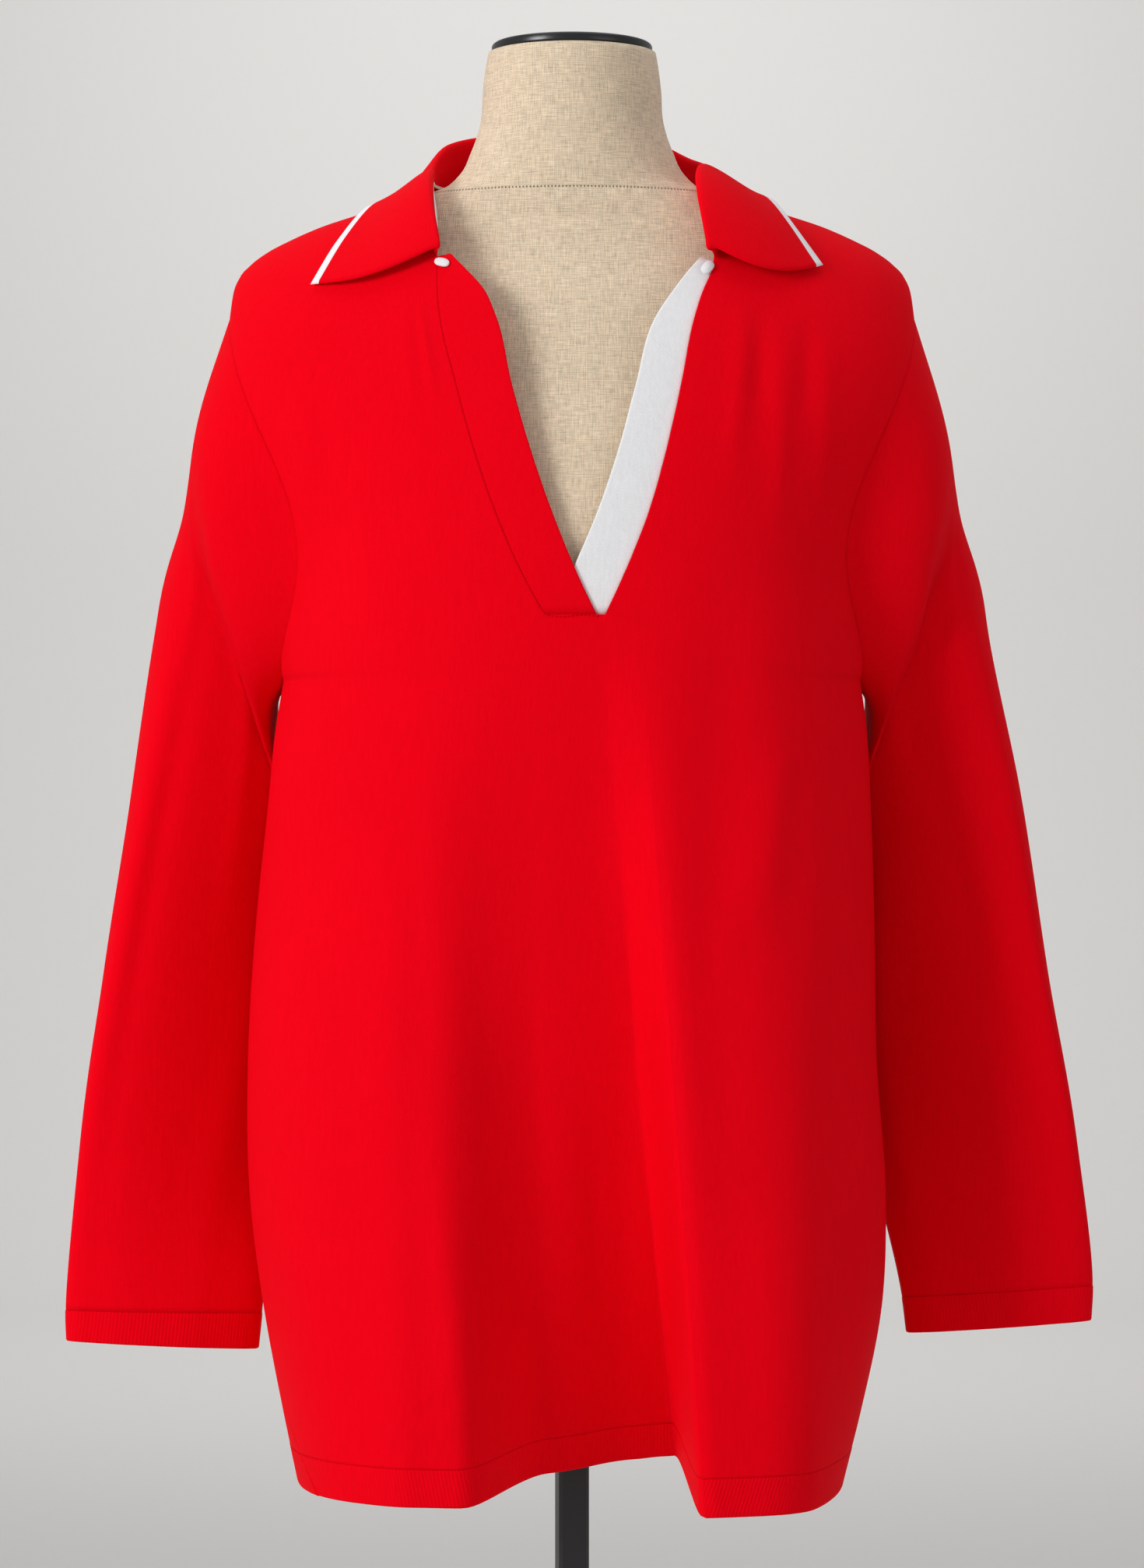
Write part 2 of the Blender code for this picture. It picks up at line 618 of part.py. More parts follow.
def join_sides(front, back):
    """Opens both side seams between a front piece and a back piece, up to the
    underarm at the most."""
    count = min(BODY_ROWS + 1, len(front[0]))
    rows = np.arange(count)
    for column, inside in ((0, 1), (-1, -2)):
        seam = back[0][rows, column].copy()
        lean = unit(front[1][rows, column] + back[1][rows, column])
        away = unit(np.cross(lean, np.gradient(seam, axis=0)))
        toward = back[0][rows, inside] - seam
        away *= np.sign(np.sum(away * toward, axis=1, keepdims=True)) * SEAM_GAP / 2
        for (grid, normals), step in ((front, -1), (back, 1)):
            grid[rows, column] += away * step
            normals[rows, column] = lean


def join_sleeve(side, front, back, sleeve):
    """Opens the armhole's seam. Its points run up the front from the underarm to
    the shoulder and down the back, as the sleeve's first row does."""
    column = 0 if side == "left" else -1
    up = BODY_ROWS + np.arange(len(FRONT_LEVELS))[::-1]
    down = BODY_ROWS + np.arange(len(BACK_LEVELS))
    grid, normals = sleeve
    outer, underarm = 0, len(up) - 1
    lean = normals[0].copy()
    lean[:len(up)] += front[1][up, column]
    lean[len(up):] += back[1][down[1:-1], column]
    lean[outer] *= (1, 0, 1)
    lean[underarm] = np.array(UNDERARM_LEAN) * (-1 if side == "left" else 1, 1, 1)
    lean = unit(lean)
    run = np.roll(grid[0], -1, axis=0) - np.roll(grid[0], 1, axis=0)
    away = unit(np.cross(lean, run))
    away *= np.sign(np.sum(away * (grid[1] - grid[0]), axis=1, keepdims=True)) * SEAM_GAP / 2
    grid[0] += away
    normals[0] = lean
    behind = np.concatenate([[underarm], np.arange(len(up), len(lean)), [outer]])
    for (body, body_normals), rows, places in ((front, up, np.arange(len(up))), (back, down, behind)):
        body[rows, column] -= away[places]
        body_normals[rows, column] = lean[places]


def build_body(knit, rib):
    """The front, the back, the sleeves and their bands."""
    grids = {}
    front, cloth = front_grid()
    for name, grid, shape, sign in (
        ("front", front, cloth, 1),
        ("back", back_grid(), None, -1),
        ("hem_front", band_grid(front_ring), None, 1),
        ("hem_back", band_grid(back_ring), None, -1),
    ):
        grids[name] = (grid, sign * grid_normals(grid, cells(grid.shape, shape, False)))
    join_sides(grids["front"], grids["back"])
    join_sides(grids["hem_front"], grids["hem_back"])
    join_rows(grids["front"], grids["hem_front"])
    join_rows(grids["back"], grids["hem_back"])
    for name, step in (("front", -1), ("back", 1)):
        grid, normals = grids[name]
        grid[-1, :, 1] += step * SEAM_GAP / 2
        normals[-1] = unit(normals[-1] * (1, 0, 1))
    for side, sign in (("left", -1), ("right", 1)):
        pieces = []
        for start, end, rows in ((0, CUFF_START, SLEEVE_ROWS), (CUFF_START, 1, 2)):
            grid = sleeve_grid(side, start, end, rows)
            pieces.append((grid, sign * grid_normals(grid, cells(grid.shape, None, True))))
        sleeve, cuff = pieces
        join_sleeve(side, grids["front"], grids["back"], sleeve)
        join_rows((sleeve[0][::-1], sleeve[1][::-1]), (cuff[0][::-1], cuff[1][::-1]))
        for name, (grid, normals), thick, finish in (
            ("sleeve_" + side, sleeve, KNIT, knit),
            ("cuff_" + side, cuff, RIB, rib),
        ):
            wall(name, grid[:, ::sign], thick, finish, loop=True, normals=normals[:, ::sign])
    wall("front", grids["front"][0], KNIT, knit, cloth, normals=grids["front"][1])
    wall("hem_front", grids["hem_front"][0], RIB, rib, normals=grids["hem_front"][1])
    for name, thick, finish in (("back", KNIT, knit), ("hem_back", RIB, rib)):
        grid, normals = grids[name]
        wall(name, grid[:, ::-1], thick, finish, normals=normals[:, ::-1])


def build_plackets(knit, white_knit):
    """The two bands of the opening. The under placket lies behind the front's edge
    and behind the top placket."""
    levels = FRONT_LEVELS[2:COLLAR_ROW + 1, None]
    spread = np.linspace(0, 1, 4)
    start, end = opening_x("seam_left", levels) + 1.5 * SEAM_GAP, opening_x("free_left", levels)
    top = upper(start + (end - start) * spread, levels, "front")
    start, end = opening_x("free_right", levels), opening_x("seam_right", levels)
    under = upper(start + (end - start) * spread, levels, "front")
    under -= grid_normals(under, cells(under.shape, None, False)) * (KNIT + 1.5 * SEAM_GAP)
    for name, grid, finish in (("placket_top", top, knit), ("placket_under", under, white_knit)):
        grid[0, :, 2] += 1.5 * SEAM_GAP
        wall(name, grid, KNIT, finish)


def neck_line(at):
    """x and level of the neck seam at a station of the collar, from its left front
    end (0) to its right one (1). A level over 1 is on the back."""
    half = np.minimum(at, 1 - at)
    sign = np.where(at < 0.5, -1, 1)
    front = half < COLLAR_TURN
    rise = np.sin(np.minimum(half / COLLAR_TURN, 1) * np.pi / 2)
    level = COLLAR_FRONT_LEVEL + (1 - COLLAR_FRONT_LEVEL) * rise
    front_x = np.where(sign < 0, opening_x("seam_left", np.minimum(level, 1)),
                       opening_x("seam_right", np.minimum(level, 1)))
    turn = np.clip((half - COLLAR_TURN) / (0.5 - COLLAR_TURN), 0, 1) * np.pi / 2
    back_x = sign * NECK_HALF * np.cos(turn)
    return np.where(front, front_x, back_x), np.where(front, level, 2 - nape_level(back_x))


def over_panel(x, level):
    """The place on the body at x and level, and its outward direction."""
    def place(x, level):
        front = upper(x, np.minimum(level, 1), "front")
        back = upper(x, np.clip(2 - level, 0, 1), "back")
        return np.where((level <= 1)[..., None], front, back)

    step_x, step_level = 0.002, 0.01
    along = place(x + step_x, level) - place(x - step_x, level)
    up = place(x, level + step_level) - place(x, level - step_level)
    return place(x, level), unit(np.cross(along, up))


def collar_points(at, places):
    """Points of the collar's middle surface at stations, and at places across it:
    0 is its foot, 1 is up the stand, 2 is the roll, 3 is down the fall and 4 is its
    outer edge. places has a row for each row of points and a column for each station.
    Each point has a place on the body, a height that is upright behind the neck and
    square to the body at the front ends, and a distance off the body."""
    size = {name: through(COLLAR["at"], COLLAR[name], at) for name in COLLAR}
    neck_x, neck_level = neck_line(at)
    half = np.minimum(at, 1 - at)
    on_front = half < COLLAR_TURN
    top = np.where(on_front, shoulder_z(size["edge_x"], "front"), shoulder_z(size["edge_x"], "back"))
    edge = np.minimum((size["edge_z"] - UNDERARM_Z) / (top - UNDERARM_Z), 1)
    edge_level = np.where(on_front, edge, 2 - edge)
    zero = np.zeros_like(at)
    keys = np.arange(5.0)
    over = np.minimum(size["roll"], 0)
    out = np.array([zero, over * 0.6, size["roll"], zero + 0.55, zero + 1])
    high = size["stand"] * np.array([zero, 0.72 + 1.2 * over, zero + 1, size["mid"], zero])
    off = np.array([zero + COLLAR_FOOT, COLLAR_FOOT - size["lean"], zero + 0.003,
                    size["lift"] + size["bulge"], size["lift"]])
    out, high, off = (
        np.array([through(keys, column, place) for column, place in zip(rows.T, places.T)]).T
        for rows in (out, high, off))
    x = neck_x + (size["edge_x"] - neck_x) * out
    level = neck_level + (edge_level - neck_level) * out
    level += size["sag"] * 4 * np.clip(out, 0, 1) * (1 - np.clip(out, 0, 1))
    place, normal = over_panel(x, level)
    upright = ease((half - 0.04) / 0.16)[:, None]
    rise = unit(normal * (1 - upright) + np.array([0, 0, 1]) * upright)
    return place + rise * high[..., None] + normal * off[..., None]


def build_collar(knit, white_knit):
    """The collar, and the tape that covers the neck seam on the collar's inside."""
    at = np.linspace(0, 1, COLLAR_COLUMNS + 1)
    places = np.array([0, 0.6, 1.2, 1.6, 2, 2.35, 2.7, 3.1, 3.55, 4])
    wall("collar", collar_points(at, places[:, None] + 0 * at), COLLAR_KNIT, knit)
    at = np.linspace(0.012, 0.988, TAPE_COLUMNS + 1)
    stand = through(COLLAR["at"], COLLAR["stand"], at)
    top = np.minimum(TAPE_WIDTH / (0.72 * stand), 0.8)
    grid = collar_points(at, np.array([0.14, 0.57, 1])[:, None] * top)
    off = (COLLAR_KNIT + TAPE + 3 * SEAM_GAP) / 2
    grid += grid_normals(grid, cells(grid.shape, None, False)) * off
    wall("neck_tape", grid, TAPE, white_knit)


def form_ring(row):
    """One ring of the dress form."""
    z, half, front, back, power = row
    angles = np.linspace(0, 2 * np.pi, FORM_SIDES, endpoint=False)
    cos, sin = np.cos(angles), np.sin(angles)
    x = half * np.sign(cos) * np.abs(cos) ** (2 / power)
    y = np.where(sin > 0, back, front) * np.sign(sin) * np.abs(sin) ** (2 / power)
    return np.stack([x, y, np.full_like(x, z)], axis=-1)


def lofted(name, grid, finish):
    """A closed solid from rings, with a flat face at each end."""
    quads = cells(grid.shape, None, True)
    count = grid.shape[1]
    last = (grid.shape[0] - 1) * count
    ends = [list(range(count))[::-1], list(range(last, last + count))]
    faces = [list(q) for q in quads] + ends
    return solid(name, grid.reshape(-1, 3), faces, finish)


def build_form(linen, black, steel):
    """The dress form, its neck cap, the pole and the base."""
    rings = np.array([form_ring(row) for row in zip(*FORM.values())])
    lofted("form_torso", rings, linen)
    turn = np.linspace(0, 2 * np.pi, FORM_SIDES, endpoint=False)
    circle = np.stack([np.cos(turn), np.sin(turn), np.zeros_like(turn)], axis=-1)
    low = NECK_TOP_Z + SEAM_GAP
    cap = [(CAP_RADIUS - 0.0006, low), (CAP_RADIUS, low + 0.0010), (CAP_RADIUS, low + CAP_HEIGHT - 0.001),
           (CAP_RADIUS - 0.0010, low + CAP_HEIGHT)]
    lofted("form_neck_cap", np.array([circle * r + [0, 0.002, z] for r, z in cap]), steel)
    base = [(BASE_RADIUS - 0.002, 0.0), (BASE_RADIUS, 0.002), (BASE_RADIUS, BASE_EDGE - 0.002),
            (BASE_RADIUS - 0.002, BASE_EDGE), (0.030, BASE_MIDDLE), (0.026, BASE_MIDDLE + 0.004)]
    lofted("stand_base", np.array([circle * r + [0, 0, z] for r, z in base]), black)
    side, cut = POLE_SIDE / 2, POLE_CORNER
    corner = np.array([(side, side - cut), (side - cut, side)])
    square = np.concatenate([corner @ np.array([[c, s], [-s, c]]) for c, s in
                             ((1, 0), (0, 1), (-1, 0), (0, -1))])
    angle = np.radians(POLE_TURN)
    square = square @ np.array([[np.cos(angle), np.sin(angle)], [-np.sin(angle), np.cos(angle)]])
    heights = (BASE_MIDDLE + 0.004 + SEAM_GAP, FORM["z"][0] - SEAM_GAP)
    pole = np.array([np.column_stack([square, np.full(8, z)]) for z in heights])
    lofted("stand_pole", pole, black)


def main():
    for old in list(bpy.data.objects):
        bpy.data.objects.remove(old, do_unlink=True)
    knit = material("red_knit", RED, 0.85)
    rib = material("red_rib", RED, 0.85)
    white_knit = material("white_knit", WHITE, 0.85)
    linen = material("linen_cover", LINEN, 0.9)
    black = material("black_paint", BLACK, 0.45)
    steel = material("dark_steel", STEEL, 0.3, 1.0)
    build_body(knit, rib)
    build_plackets(knit, white_knit)
    build_collar(knit, white_knit)
    build_form(linen, black, steel)


main()
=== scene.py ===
"""Red polo sweater on a linen dress form, built as fine cloth surfaces in one shared frame.

Metres, +Z up. The front faces -Y and +X is the viewer's right. The body is made of
rings below the arms and of levels above them: level 0 is the underarm ring, level 1 is
the shoulder seam. Every piece of cloth is a thin closed wall round a grid of points.
"""

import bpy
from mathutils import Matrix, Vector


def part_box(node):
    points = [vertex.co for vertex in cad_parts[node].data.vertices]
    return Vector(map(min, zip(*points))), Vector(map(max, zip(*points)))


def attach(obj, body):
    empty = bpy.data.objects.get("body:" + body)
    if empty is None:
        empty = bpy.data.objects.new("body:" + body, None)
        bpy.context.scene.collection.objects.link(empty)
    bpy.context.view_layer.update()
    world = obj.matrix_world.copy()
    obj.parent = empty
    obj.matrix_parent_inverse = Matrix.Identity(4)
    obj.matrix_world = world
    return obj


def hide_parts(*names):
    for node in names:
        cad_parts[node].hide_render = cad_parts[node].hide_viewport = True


bl_info = {
    "name": "Polo sweater on a dress form",
    "version": (1, 0, 0),
    "blender": (4, 5, 0),
    "location": "3D View > Sidebar > Sweater",
    "description": "Builds a fine-knit polo sweater worn by a linen dress form",
    "category": "Mesh",
}

import bpy
import numpy as np

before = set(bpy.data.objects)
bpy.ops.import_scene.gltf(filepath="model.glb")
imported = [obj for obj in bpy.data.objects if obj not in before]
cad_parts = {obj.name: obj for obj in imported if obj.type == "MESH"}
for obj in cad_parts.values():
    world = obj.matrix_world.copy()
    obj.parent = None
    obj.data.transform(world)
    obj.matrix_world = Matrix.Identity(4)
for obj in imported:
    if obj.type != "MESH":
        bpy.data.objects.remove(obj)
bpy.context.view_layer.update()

# ---------------------------------------------------------------- sizes of the garment

SEAM_GAP = 0.00006
FREE_EDGE = 0.3    # the share of the cloth's thickness at a free edge
SEAM_EDGE = 0.9    # and along a seam
HEM_Z = 0.660
HEM_BAND = 0.021
UNDERARM_Z = 1.122
OPENING_Z = 1.157
ACROSS = 2.4
UPWARD = {"front": 2.2, "back": 2.8}
NECK_HALF = 0.082
NAPE_DEPTH = 0.070
NAPE_RISE = 0.035
COLLAR_FRONT_LEVEL = 0.825
COLLAR_FOOT = 0.0022
COLLAR_TURN = 0.2
COLLAR_UP = 0.72     # the share of its stand that the collar has risen at place 1
TAPE_WIDTH = 0.0090
TAPE_SLIM = 0.72     # the share of its width that the tape loses inside the neck
CUFF_START = 0.965
ARMHOLE_BOW = 0.042
ARMHOLE_REACH = 0.14    # the share of the sleeve over which the bow fades
SLEEVE_TURN = 0.3       # and over which its sections turn square to it
UNDERARM_LEAN = (0.35, 0, -0.94)
FOLD_GROWTH = 1.25
FOLD_SOFT = 0.020    # how much wider a front fold's slopes are near the opening
BACK_FOLD_GROWTH = 1.3
HEM_LIFT = 0.14
BACK_FOLD_Z = 1.24
NECK_SEAM_Z = 1.4080

# ---------------------------------------------------------------- sizes of the meshes

BODY_ROWS = 112
SLOT_ROWS = 8
UPPER_ROWS = 96
SLEEVE_ROWS = 120
BAND_ROWS = 12
FRONT_COLUMNS = (46, 18, 18, 22, 40)
BACK_COLUMNS = (34, 40, 34)
COLLAR_COLUMNS = 190
COLLAR_ROWS = 46
PLACKET_COLUMNS = 24
TAPE_COLUMNS = 160
TAPE_ROWS = 8
FORM_SIDES = 144
RING_SAMPLES = 1400
ROW_SAMPLES = 1601
ARMHOLE_SAMPLES = 241
BACK_LOW = 0.08    # the level up to which the back's first rows above the arms reach


def table(names, *rows):
    """Named columns of numbers: a dictionary of arrays."""
    return dict(zip(names.split(), np.array(rows, float).T))


BODY = table(
    "z left right front back n_left n_right n_back seam_left seam_right",
    (0.66, 0.159, 0.156, 0.155, 0.13, 3.4, 4, 2.6, 34, 4),
    (0.7, 0.168, 0.167, 0.154, 0.128, 3.2, 3.7, 2.6, 20, 3),
    (0.76, 0.18, 0.18, 0.152, 0.125, 2.9, 3.3, 2.5, 6, 1),
    (0.82, 0.188, 0.183, 0.149, 0.122, 2.7, 2.9, 2.5, 0, 0),
    (0.9, 0.1895, 0.178, 0.144, 0.118, 2.6, 2.7, 2.5, 0, 0),
    (0.98, 0.185, 0.177, 0.139, 0.114, 2.5, 2.5, 2.5, 0, 0),
    (1.05, 0.178, 0.175, 0.136, 0.111, 2.4, 2.4, 2.4, 0, 0),
    (1.095, 0.1735, 0.1725, 0.1345, 0.109, 2.4, 2.4, 2.4, 0, 0),
    (1.122, 0.169, 0.169, 0.134, 0.108, 2.4, 2.4, 2.4, 0, 0),
)

FRONT_FOLDS = table(
    "left_top left_low left_width right_top right_low right_width depth",
    (-0.08, -0.062, 0.048, 0.022, 0.06, 0.013, 0.062),
    (-0.04, -0.03, 0.085, 0.022, 0.06, 0.013, 0.038),
    (0.022, 0.06, 0.013, 0.12, 0.13, 0.03, -0.017),
)

BACK_FOLDS = table(
    "top low half depth",
    (-0.08, -0.092, 0.052, 0.018),
    (-0.01, 0.01, 0.055, 0.024),
    (0.072, 0.098, 0.05, 0.017),
)

FRONT_LINES = table(
    "top low",
    (-0.046, -0.062),
    (-0.0144, -0.014),
    (0.018, 0.06),
    (0.038, 0.074),
)

SHOULDER = table(
    "x z",
    (0, 1.424),
    (0.05, 1.4205),
    (0.082, 1.413),
    (0.12, 1.3985),
    (0.15, 1.3885),
    (0.166, 1.3815),
    (0.1795, 1.3745),
    (0.1895, 1.367),
    (0.1955, 1.36),
    (0.199, 1.3505),
    (0.2008, 1.337),
)

OPENING = table(
    "z free_left seam_left seam_right free_right",
    (1.1555, 0.0145, -0.0144, 0.018, -0.01),
    (1.1787, 0.0035, -0.027, 0.0288, -0.001),
    (1.2143, -0.011, -0.0425, 0.043, 0.014),
    (1.2506, -0.0234, -0.055, 0.0533, 0.0262),
    (1.2868, -0.0337, -0.065, 0.0615, 0.0358),
    (1.3285, -0.0435, -0.075, 0.07, 0.048),
    (1.344, -0.0505, -0.0765, 0.075, 0.058),
    (1.3557, -0.0605, -0.0768, 0.08, 0.0665),
    (1.365, -0.069, -0.0772, 0.0815, 0.074),
    (1.413, -0.075, -0.082, 0.082, 0.078),
)

SLEEVE_COLUMNS = "w outer_x outer_y outer_z inner_x inner_y inner_z front back"
SLEEVES = {
    "left": table(
        SLEEVE_COLUMNS,
        (0, 0.2008, 0, 1.337, 0.169, 0, 1.122, 0.062, 0.058),
        (0.08, 0.2165, 0.002, 1.288, 0.177, 0.017, 1.106, 0.06, 0.057),
        (0.18, 0.227, -0.001, 1.232, 0.177, 0.041, 1.068, 0.0435, 0.053),
        (0.25, 0.231, -0.008, 1.196, 0.1785, 0.062, 1.038, 0.0325, 0.05),
        (0.32, 0.237, -0.006, 1.16, 0.1795, 0.069, 1.01, 0.0285, 0.046),
        (0.5, 0.2538, 0, 1.06, 0.1815, 0.074, 0.94, 0.021, 0.042),
        (0.7, 0.2733, 0.002, 0.95, 0.18, 0.074, 0.875, 0.018, 0.036),
        (0.86, 0.2895, 0.003, 0.85, 0.185, 0.056, 0.81, 0.016, 0.026),
        (0.965, 0.299, 0.005, 0.7505, 0.1865, 0.034, 0.7455, 0.016, 0.018),
        (1, 0.2985, 0.005, 0.7325, 0.1885, 0.032, 0.7245, 0.016, 0.018),
    ),
    "right": table(
        SLEEVE_COLUMNS,
        (0, 0.2008, 0, 1.337, 0.169, 0, 1.122, 0.062, 0.058),
        (0.08, 0.2155, 0.002, 1.288, 0.177, 0.016, 1.106, 0.06, 0.057),
        (0.18, 0.2265, -0.001, 1.232, 0.1755, 0.041, 1.068, 0.0435, 0.053),
        (0.25, 0.2305, -0.008, 1.196, 0.1765, 0.062, 1.038, 0.0325, 0.05),
        (0.32, 0.2369, -0.006, 1.16, 0.176, 0.068, 1.01, 0.028, 0.046),
        (0.5, 0.2602, 0, 1.06, 0.1755, 0.072, 0.94, 0.023, 0.042),
        (0.7, 0.2785, 0.002, 0.95, 0.176, 0.074, 0.88, 0.018, 0.036),
        (0.86, 0.2975, 0.003, 0.85, 0.185, 0.056, 0.82, 0.016, 0.026),
        (0.965, 0.3075, 0.005, 0.765, 0.1985, 0.034, 0.755, 0.016, 0.018),
        (1, 0.3065, 0.005, 0.7445, 0.201, 0.032, 0.734, 0.016, 0.018),
    ),
}

COLLAR = table(
    "at stand lean edge_x edge_z lift bulge sag mid roll",
    (0, 0.0055, 0, -0.149, 1.348, 0.0035, 0.001, -0.02, 0.45, 0),
    (0.1, 0.0085, 0.001, -0.134, 1.376, 0.003, 0.0008, -0.008, 0.2, 0.05),
    (0.2, 0.009, 0.002, -0.115, 1.401, 0.003, 0.0008, 0, 0.15, 0.05),
    (0.3, 0.029, 0.003, -0.102, 1.392, 0.0045, 0.003, 0, 0.25, 0.05),
    (0.4, 0.036, 0.0035, -0.06, 1.398, 0.005, 0.005, 0, 0.42, 0.05),
    (0.5, 0.037, 0.0035, 0, 1.399, 0.005, 0.005, 0, 0.45, 0.05),
    (0.6, 0.034, 0.0035, 0.06, 1.398, 0.005, 0.005, 0, 0.42, 0.05),
    (0.7, 0.019, 0.003, 0.102, 1.392, 0.006, 0.003, 0, 0.15, 0.03),
    (0.8, 0.009, 0.002, 0.112, 1.402, 0.0065, 0, 0, 0, -0.04),
    (0.9, 0.0115, 0.001, 0.129, 1.38, 0.0045, 0.002, -0.008, 0.25, -0.22),
    (1, 0.007, 0, 0.1434, 1.3595, 0.0035, 0.001, -0.03, 0.45, -0.05),
)

FORM = table(
    "z half front back power",
    (0.9, 0.112, 0.072, 0.072, 2.2),
    (0.903, 0.128, 0.084, 0.084, 2.2),
    (0.915, 0.136, 0.092, 0.092, 2.2),
    (0.96, 0.13, 0.092, 0.09, 2.2),
    (1.03, 0.118, 0.09, 0.084, 2.2),
    (1.09, 0.132, 0.104, 0.089, 2.2),
    (1.14, 0.146, 0.121, 0.094, 2.2),
    (1.18, 0.15, 0.125, 0.097, 2.2),
    (1.23, 0.154, 0.118, 0.098, 2.3),
    (1.28, 0.164, 0.103, 0.09, 2.2),
    (1.32, 0.173, 0.087, 0.079, 2.1),
    (1.345, 0.1725, 0.075, 0.07, 2),
    (1.36, 0.17, 0.067, 0.065, 2),
    (1.375, 0.162, 0.06, 0.061, 2),
    (1.385, 0.1512, 0.057, 0.058, 2),
    (1.39, 0.1385, 0.055, 0.057, 2),
    (1.395, 0.1243, 0.0545, 0.056, 2),
    (1.4, 0.1105, 0.054, 0.056, 2),
    (1.405, 0.0975, 0.053, 0.0555, 2),
    (1.409, 0.087, 0.0525, 0.0555, 2),
    (1.413, 0.0765, 0.052, 0.055, 2),
    (1.42, 0.068, 0.052, 0.055, 2),
    (1.435, 0.06, 0.051, 0.057, 2),
    (1.452, 0.0545, 0.051, 0.056, 2),
    (1.472, 0.053, 0.05, 0.055, 2),
    (1.486, 0.0512, 0.049, 0.053, 2),
    (1.493, 0.05, 0.048, 0.052, 2),
)

# The ends of the neck tape that show at the front: the middle's x and z, the width, the
# height, the tilt in degrees and the distance off the body.
TAPE_ENDS = (
    (-0.074, 1.359, 0.0085, 0.0046, -14, 0.0016),
    (0.077, 1.356, 0.0085, 0.0058, 50, 0.0016),
)

# The thread across the foot of the top placket.
STITCH_RUN = (-0.0145, 0.015)
STITCH_Z = 1.1562
THREAD_RADIUS = 0.00045

# Soft creases of the body, each a ridge (height over zero) or a trough (under zero). It
# runs down from z start to z end through three places in x, with its own width on
# either side, and keeps the share `held` of its height where it ends. Heights in mm.
CREASE = "start end first middle last before after height held"
FRONT_CREASES = table(
    CREASE,
    (1.06, 0.66, -0.108, -0.098, -0.094, 0.016, 0.01, 2.6, 0.8),
    (1.05, 0.985, -0.1095, -0.1065, -0.1035, 0.004, 0.003, 0.9, 0),
    (1.038, 0.9, -0.0985, -0.096, -0.095, 0.004, 0.003, 1.1, 0),
    (0.93, 0.7, -0.086, -0.072, -0.06, 0.009, 0.005, 1.8, 0),
    (1.1, 0.69, -0.056, -0.048, -0.046, 0.02, 0.022, -3, 0.5),
    (1.15, 0.9, 0.026, 0.03, 0.04, 0.01, 0.012, 2.4, 0.9),
    (0.96, 0.69, 0.038, 0.046, 0.055, 0.006, 0.005, 1.2, 0.6),
    (1.23, 0.76, 0.092, 0.082, 0.094, 0.018, 0.016, -3.2, 0.3),
    (1.03, 0.9, 0.094, 0.088, 0.082, 0.004, 0.003, 1.3, 0),
    (1.11, 0.96, 0.12, 0.112, 0.1, 0.01, 0.01, 2.2, 0),
    (1.14, 0.83, 0.142, 0.137, 0.128, 0.009, 0.012, 1.8, 0),
    (1.06, 0.88, 0.152, 0.15, 0.14, 0.006, 0.006, 1, 0),
    (0.85, 0.66, 0.11, 0.112, 0.118, 0.012, 0.014, 1.6, 0.7),
    (0.9, 0.7, -0.004, -0.002, 0.004, 0.01, 0.01, 1, 0.3),
    (0.88, 0.74, 0.012, 0.014, 0.018, 0.006, 0.006, -0.8, 0.2),
    (1.348, 1.22, 0.0985, 0.094, 0.088, 0.005, 0.005, 1.6, 0),
    (1.345, 1.25, 0.108, 0.106, 0.105, 0.004, 0.005, -1.3, 0),
    (1.34, 1.18, 0.12, 0.118, 0.115, 0.006, 0.006, 1.5, 0),
    (1.336, 1.26, 0.134, 0.133, 0.13, 0.004, 0.005, -1.1, 0),
    (1.33, 1.2, 0.145, 0.144, 0.14, 0.006, 0.007, 1.2, 0),
    (1.345, 1.27, -0.088, -0.082, -0.076, 0.003, 0.003, 0.9, 0),
    (1.343, 1.255, -0.097, -0.092, -0.087, 0.004, 0.004, 0.8, 0),
    (1.32, 1.16, -0.156, -0.152, -0.144, 0.008, 0.01, 1.8, 0),
    (1.27, 1.12, -0.125, -0.118, -0.112, 0.012, 0.012, 1.2, 0),
)
BACK_CREASES = table(
    CREASE,
    (1.3, 0.94, -0.118, -0.112, -0.1, 0.01, 0.014, 2.2, 0),
    (1.33, 1.06, -0.06, -0.052, -0.046, 0.012, 0.01, 1.6, 0),
    (1.29, 0.86, 0.03, 0.038, 0.05, 0.012, 0.016, 2.4, 0),
    (1.31, 1, 0.104, 0.112, 0.116, 0.01, 0.01, 2, 0),
    (1.04, 0.66, -0.052, -0.046, -0.04, 0.012, 0.01, 2.2, 0.8),
    (1.1, 0.7, 0.052, 0.062, 0.07, 0.01, 0.014, 1.8, 0.6),
    (0.96, 0.66, -0.128, -0.134, -0.136, 0.01, 0.012, 1.6, 0.7),
    (0.93, 0.68, 0.126, 0.134, 0.14, 0.012, 0.01, 1.4, 0.6),
    (0.9, 0.72, 0.006, 0.01, 0.016, 0.008, 0.008, -1.2, 0.4),
    (1.2, 1.02, -0.01, -0.014, -0.012, 0.014, 0.012, -1.4, 0),
)

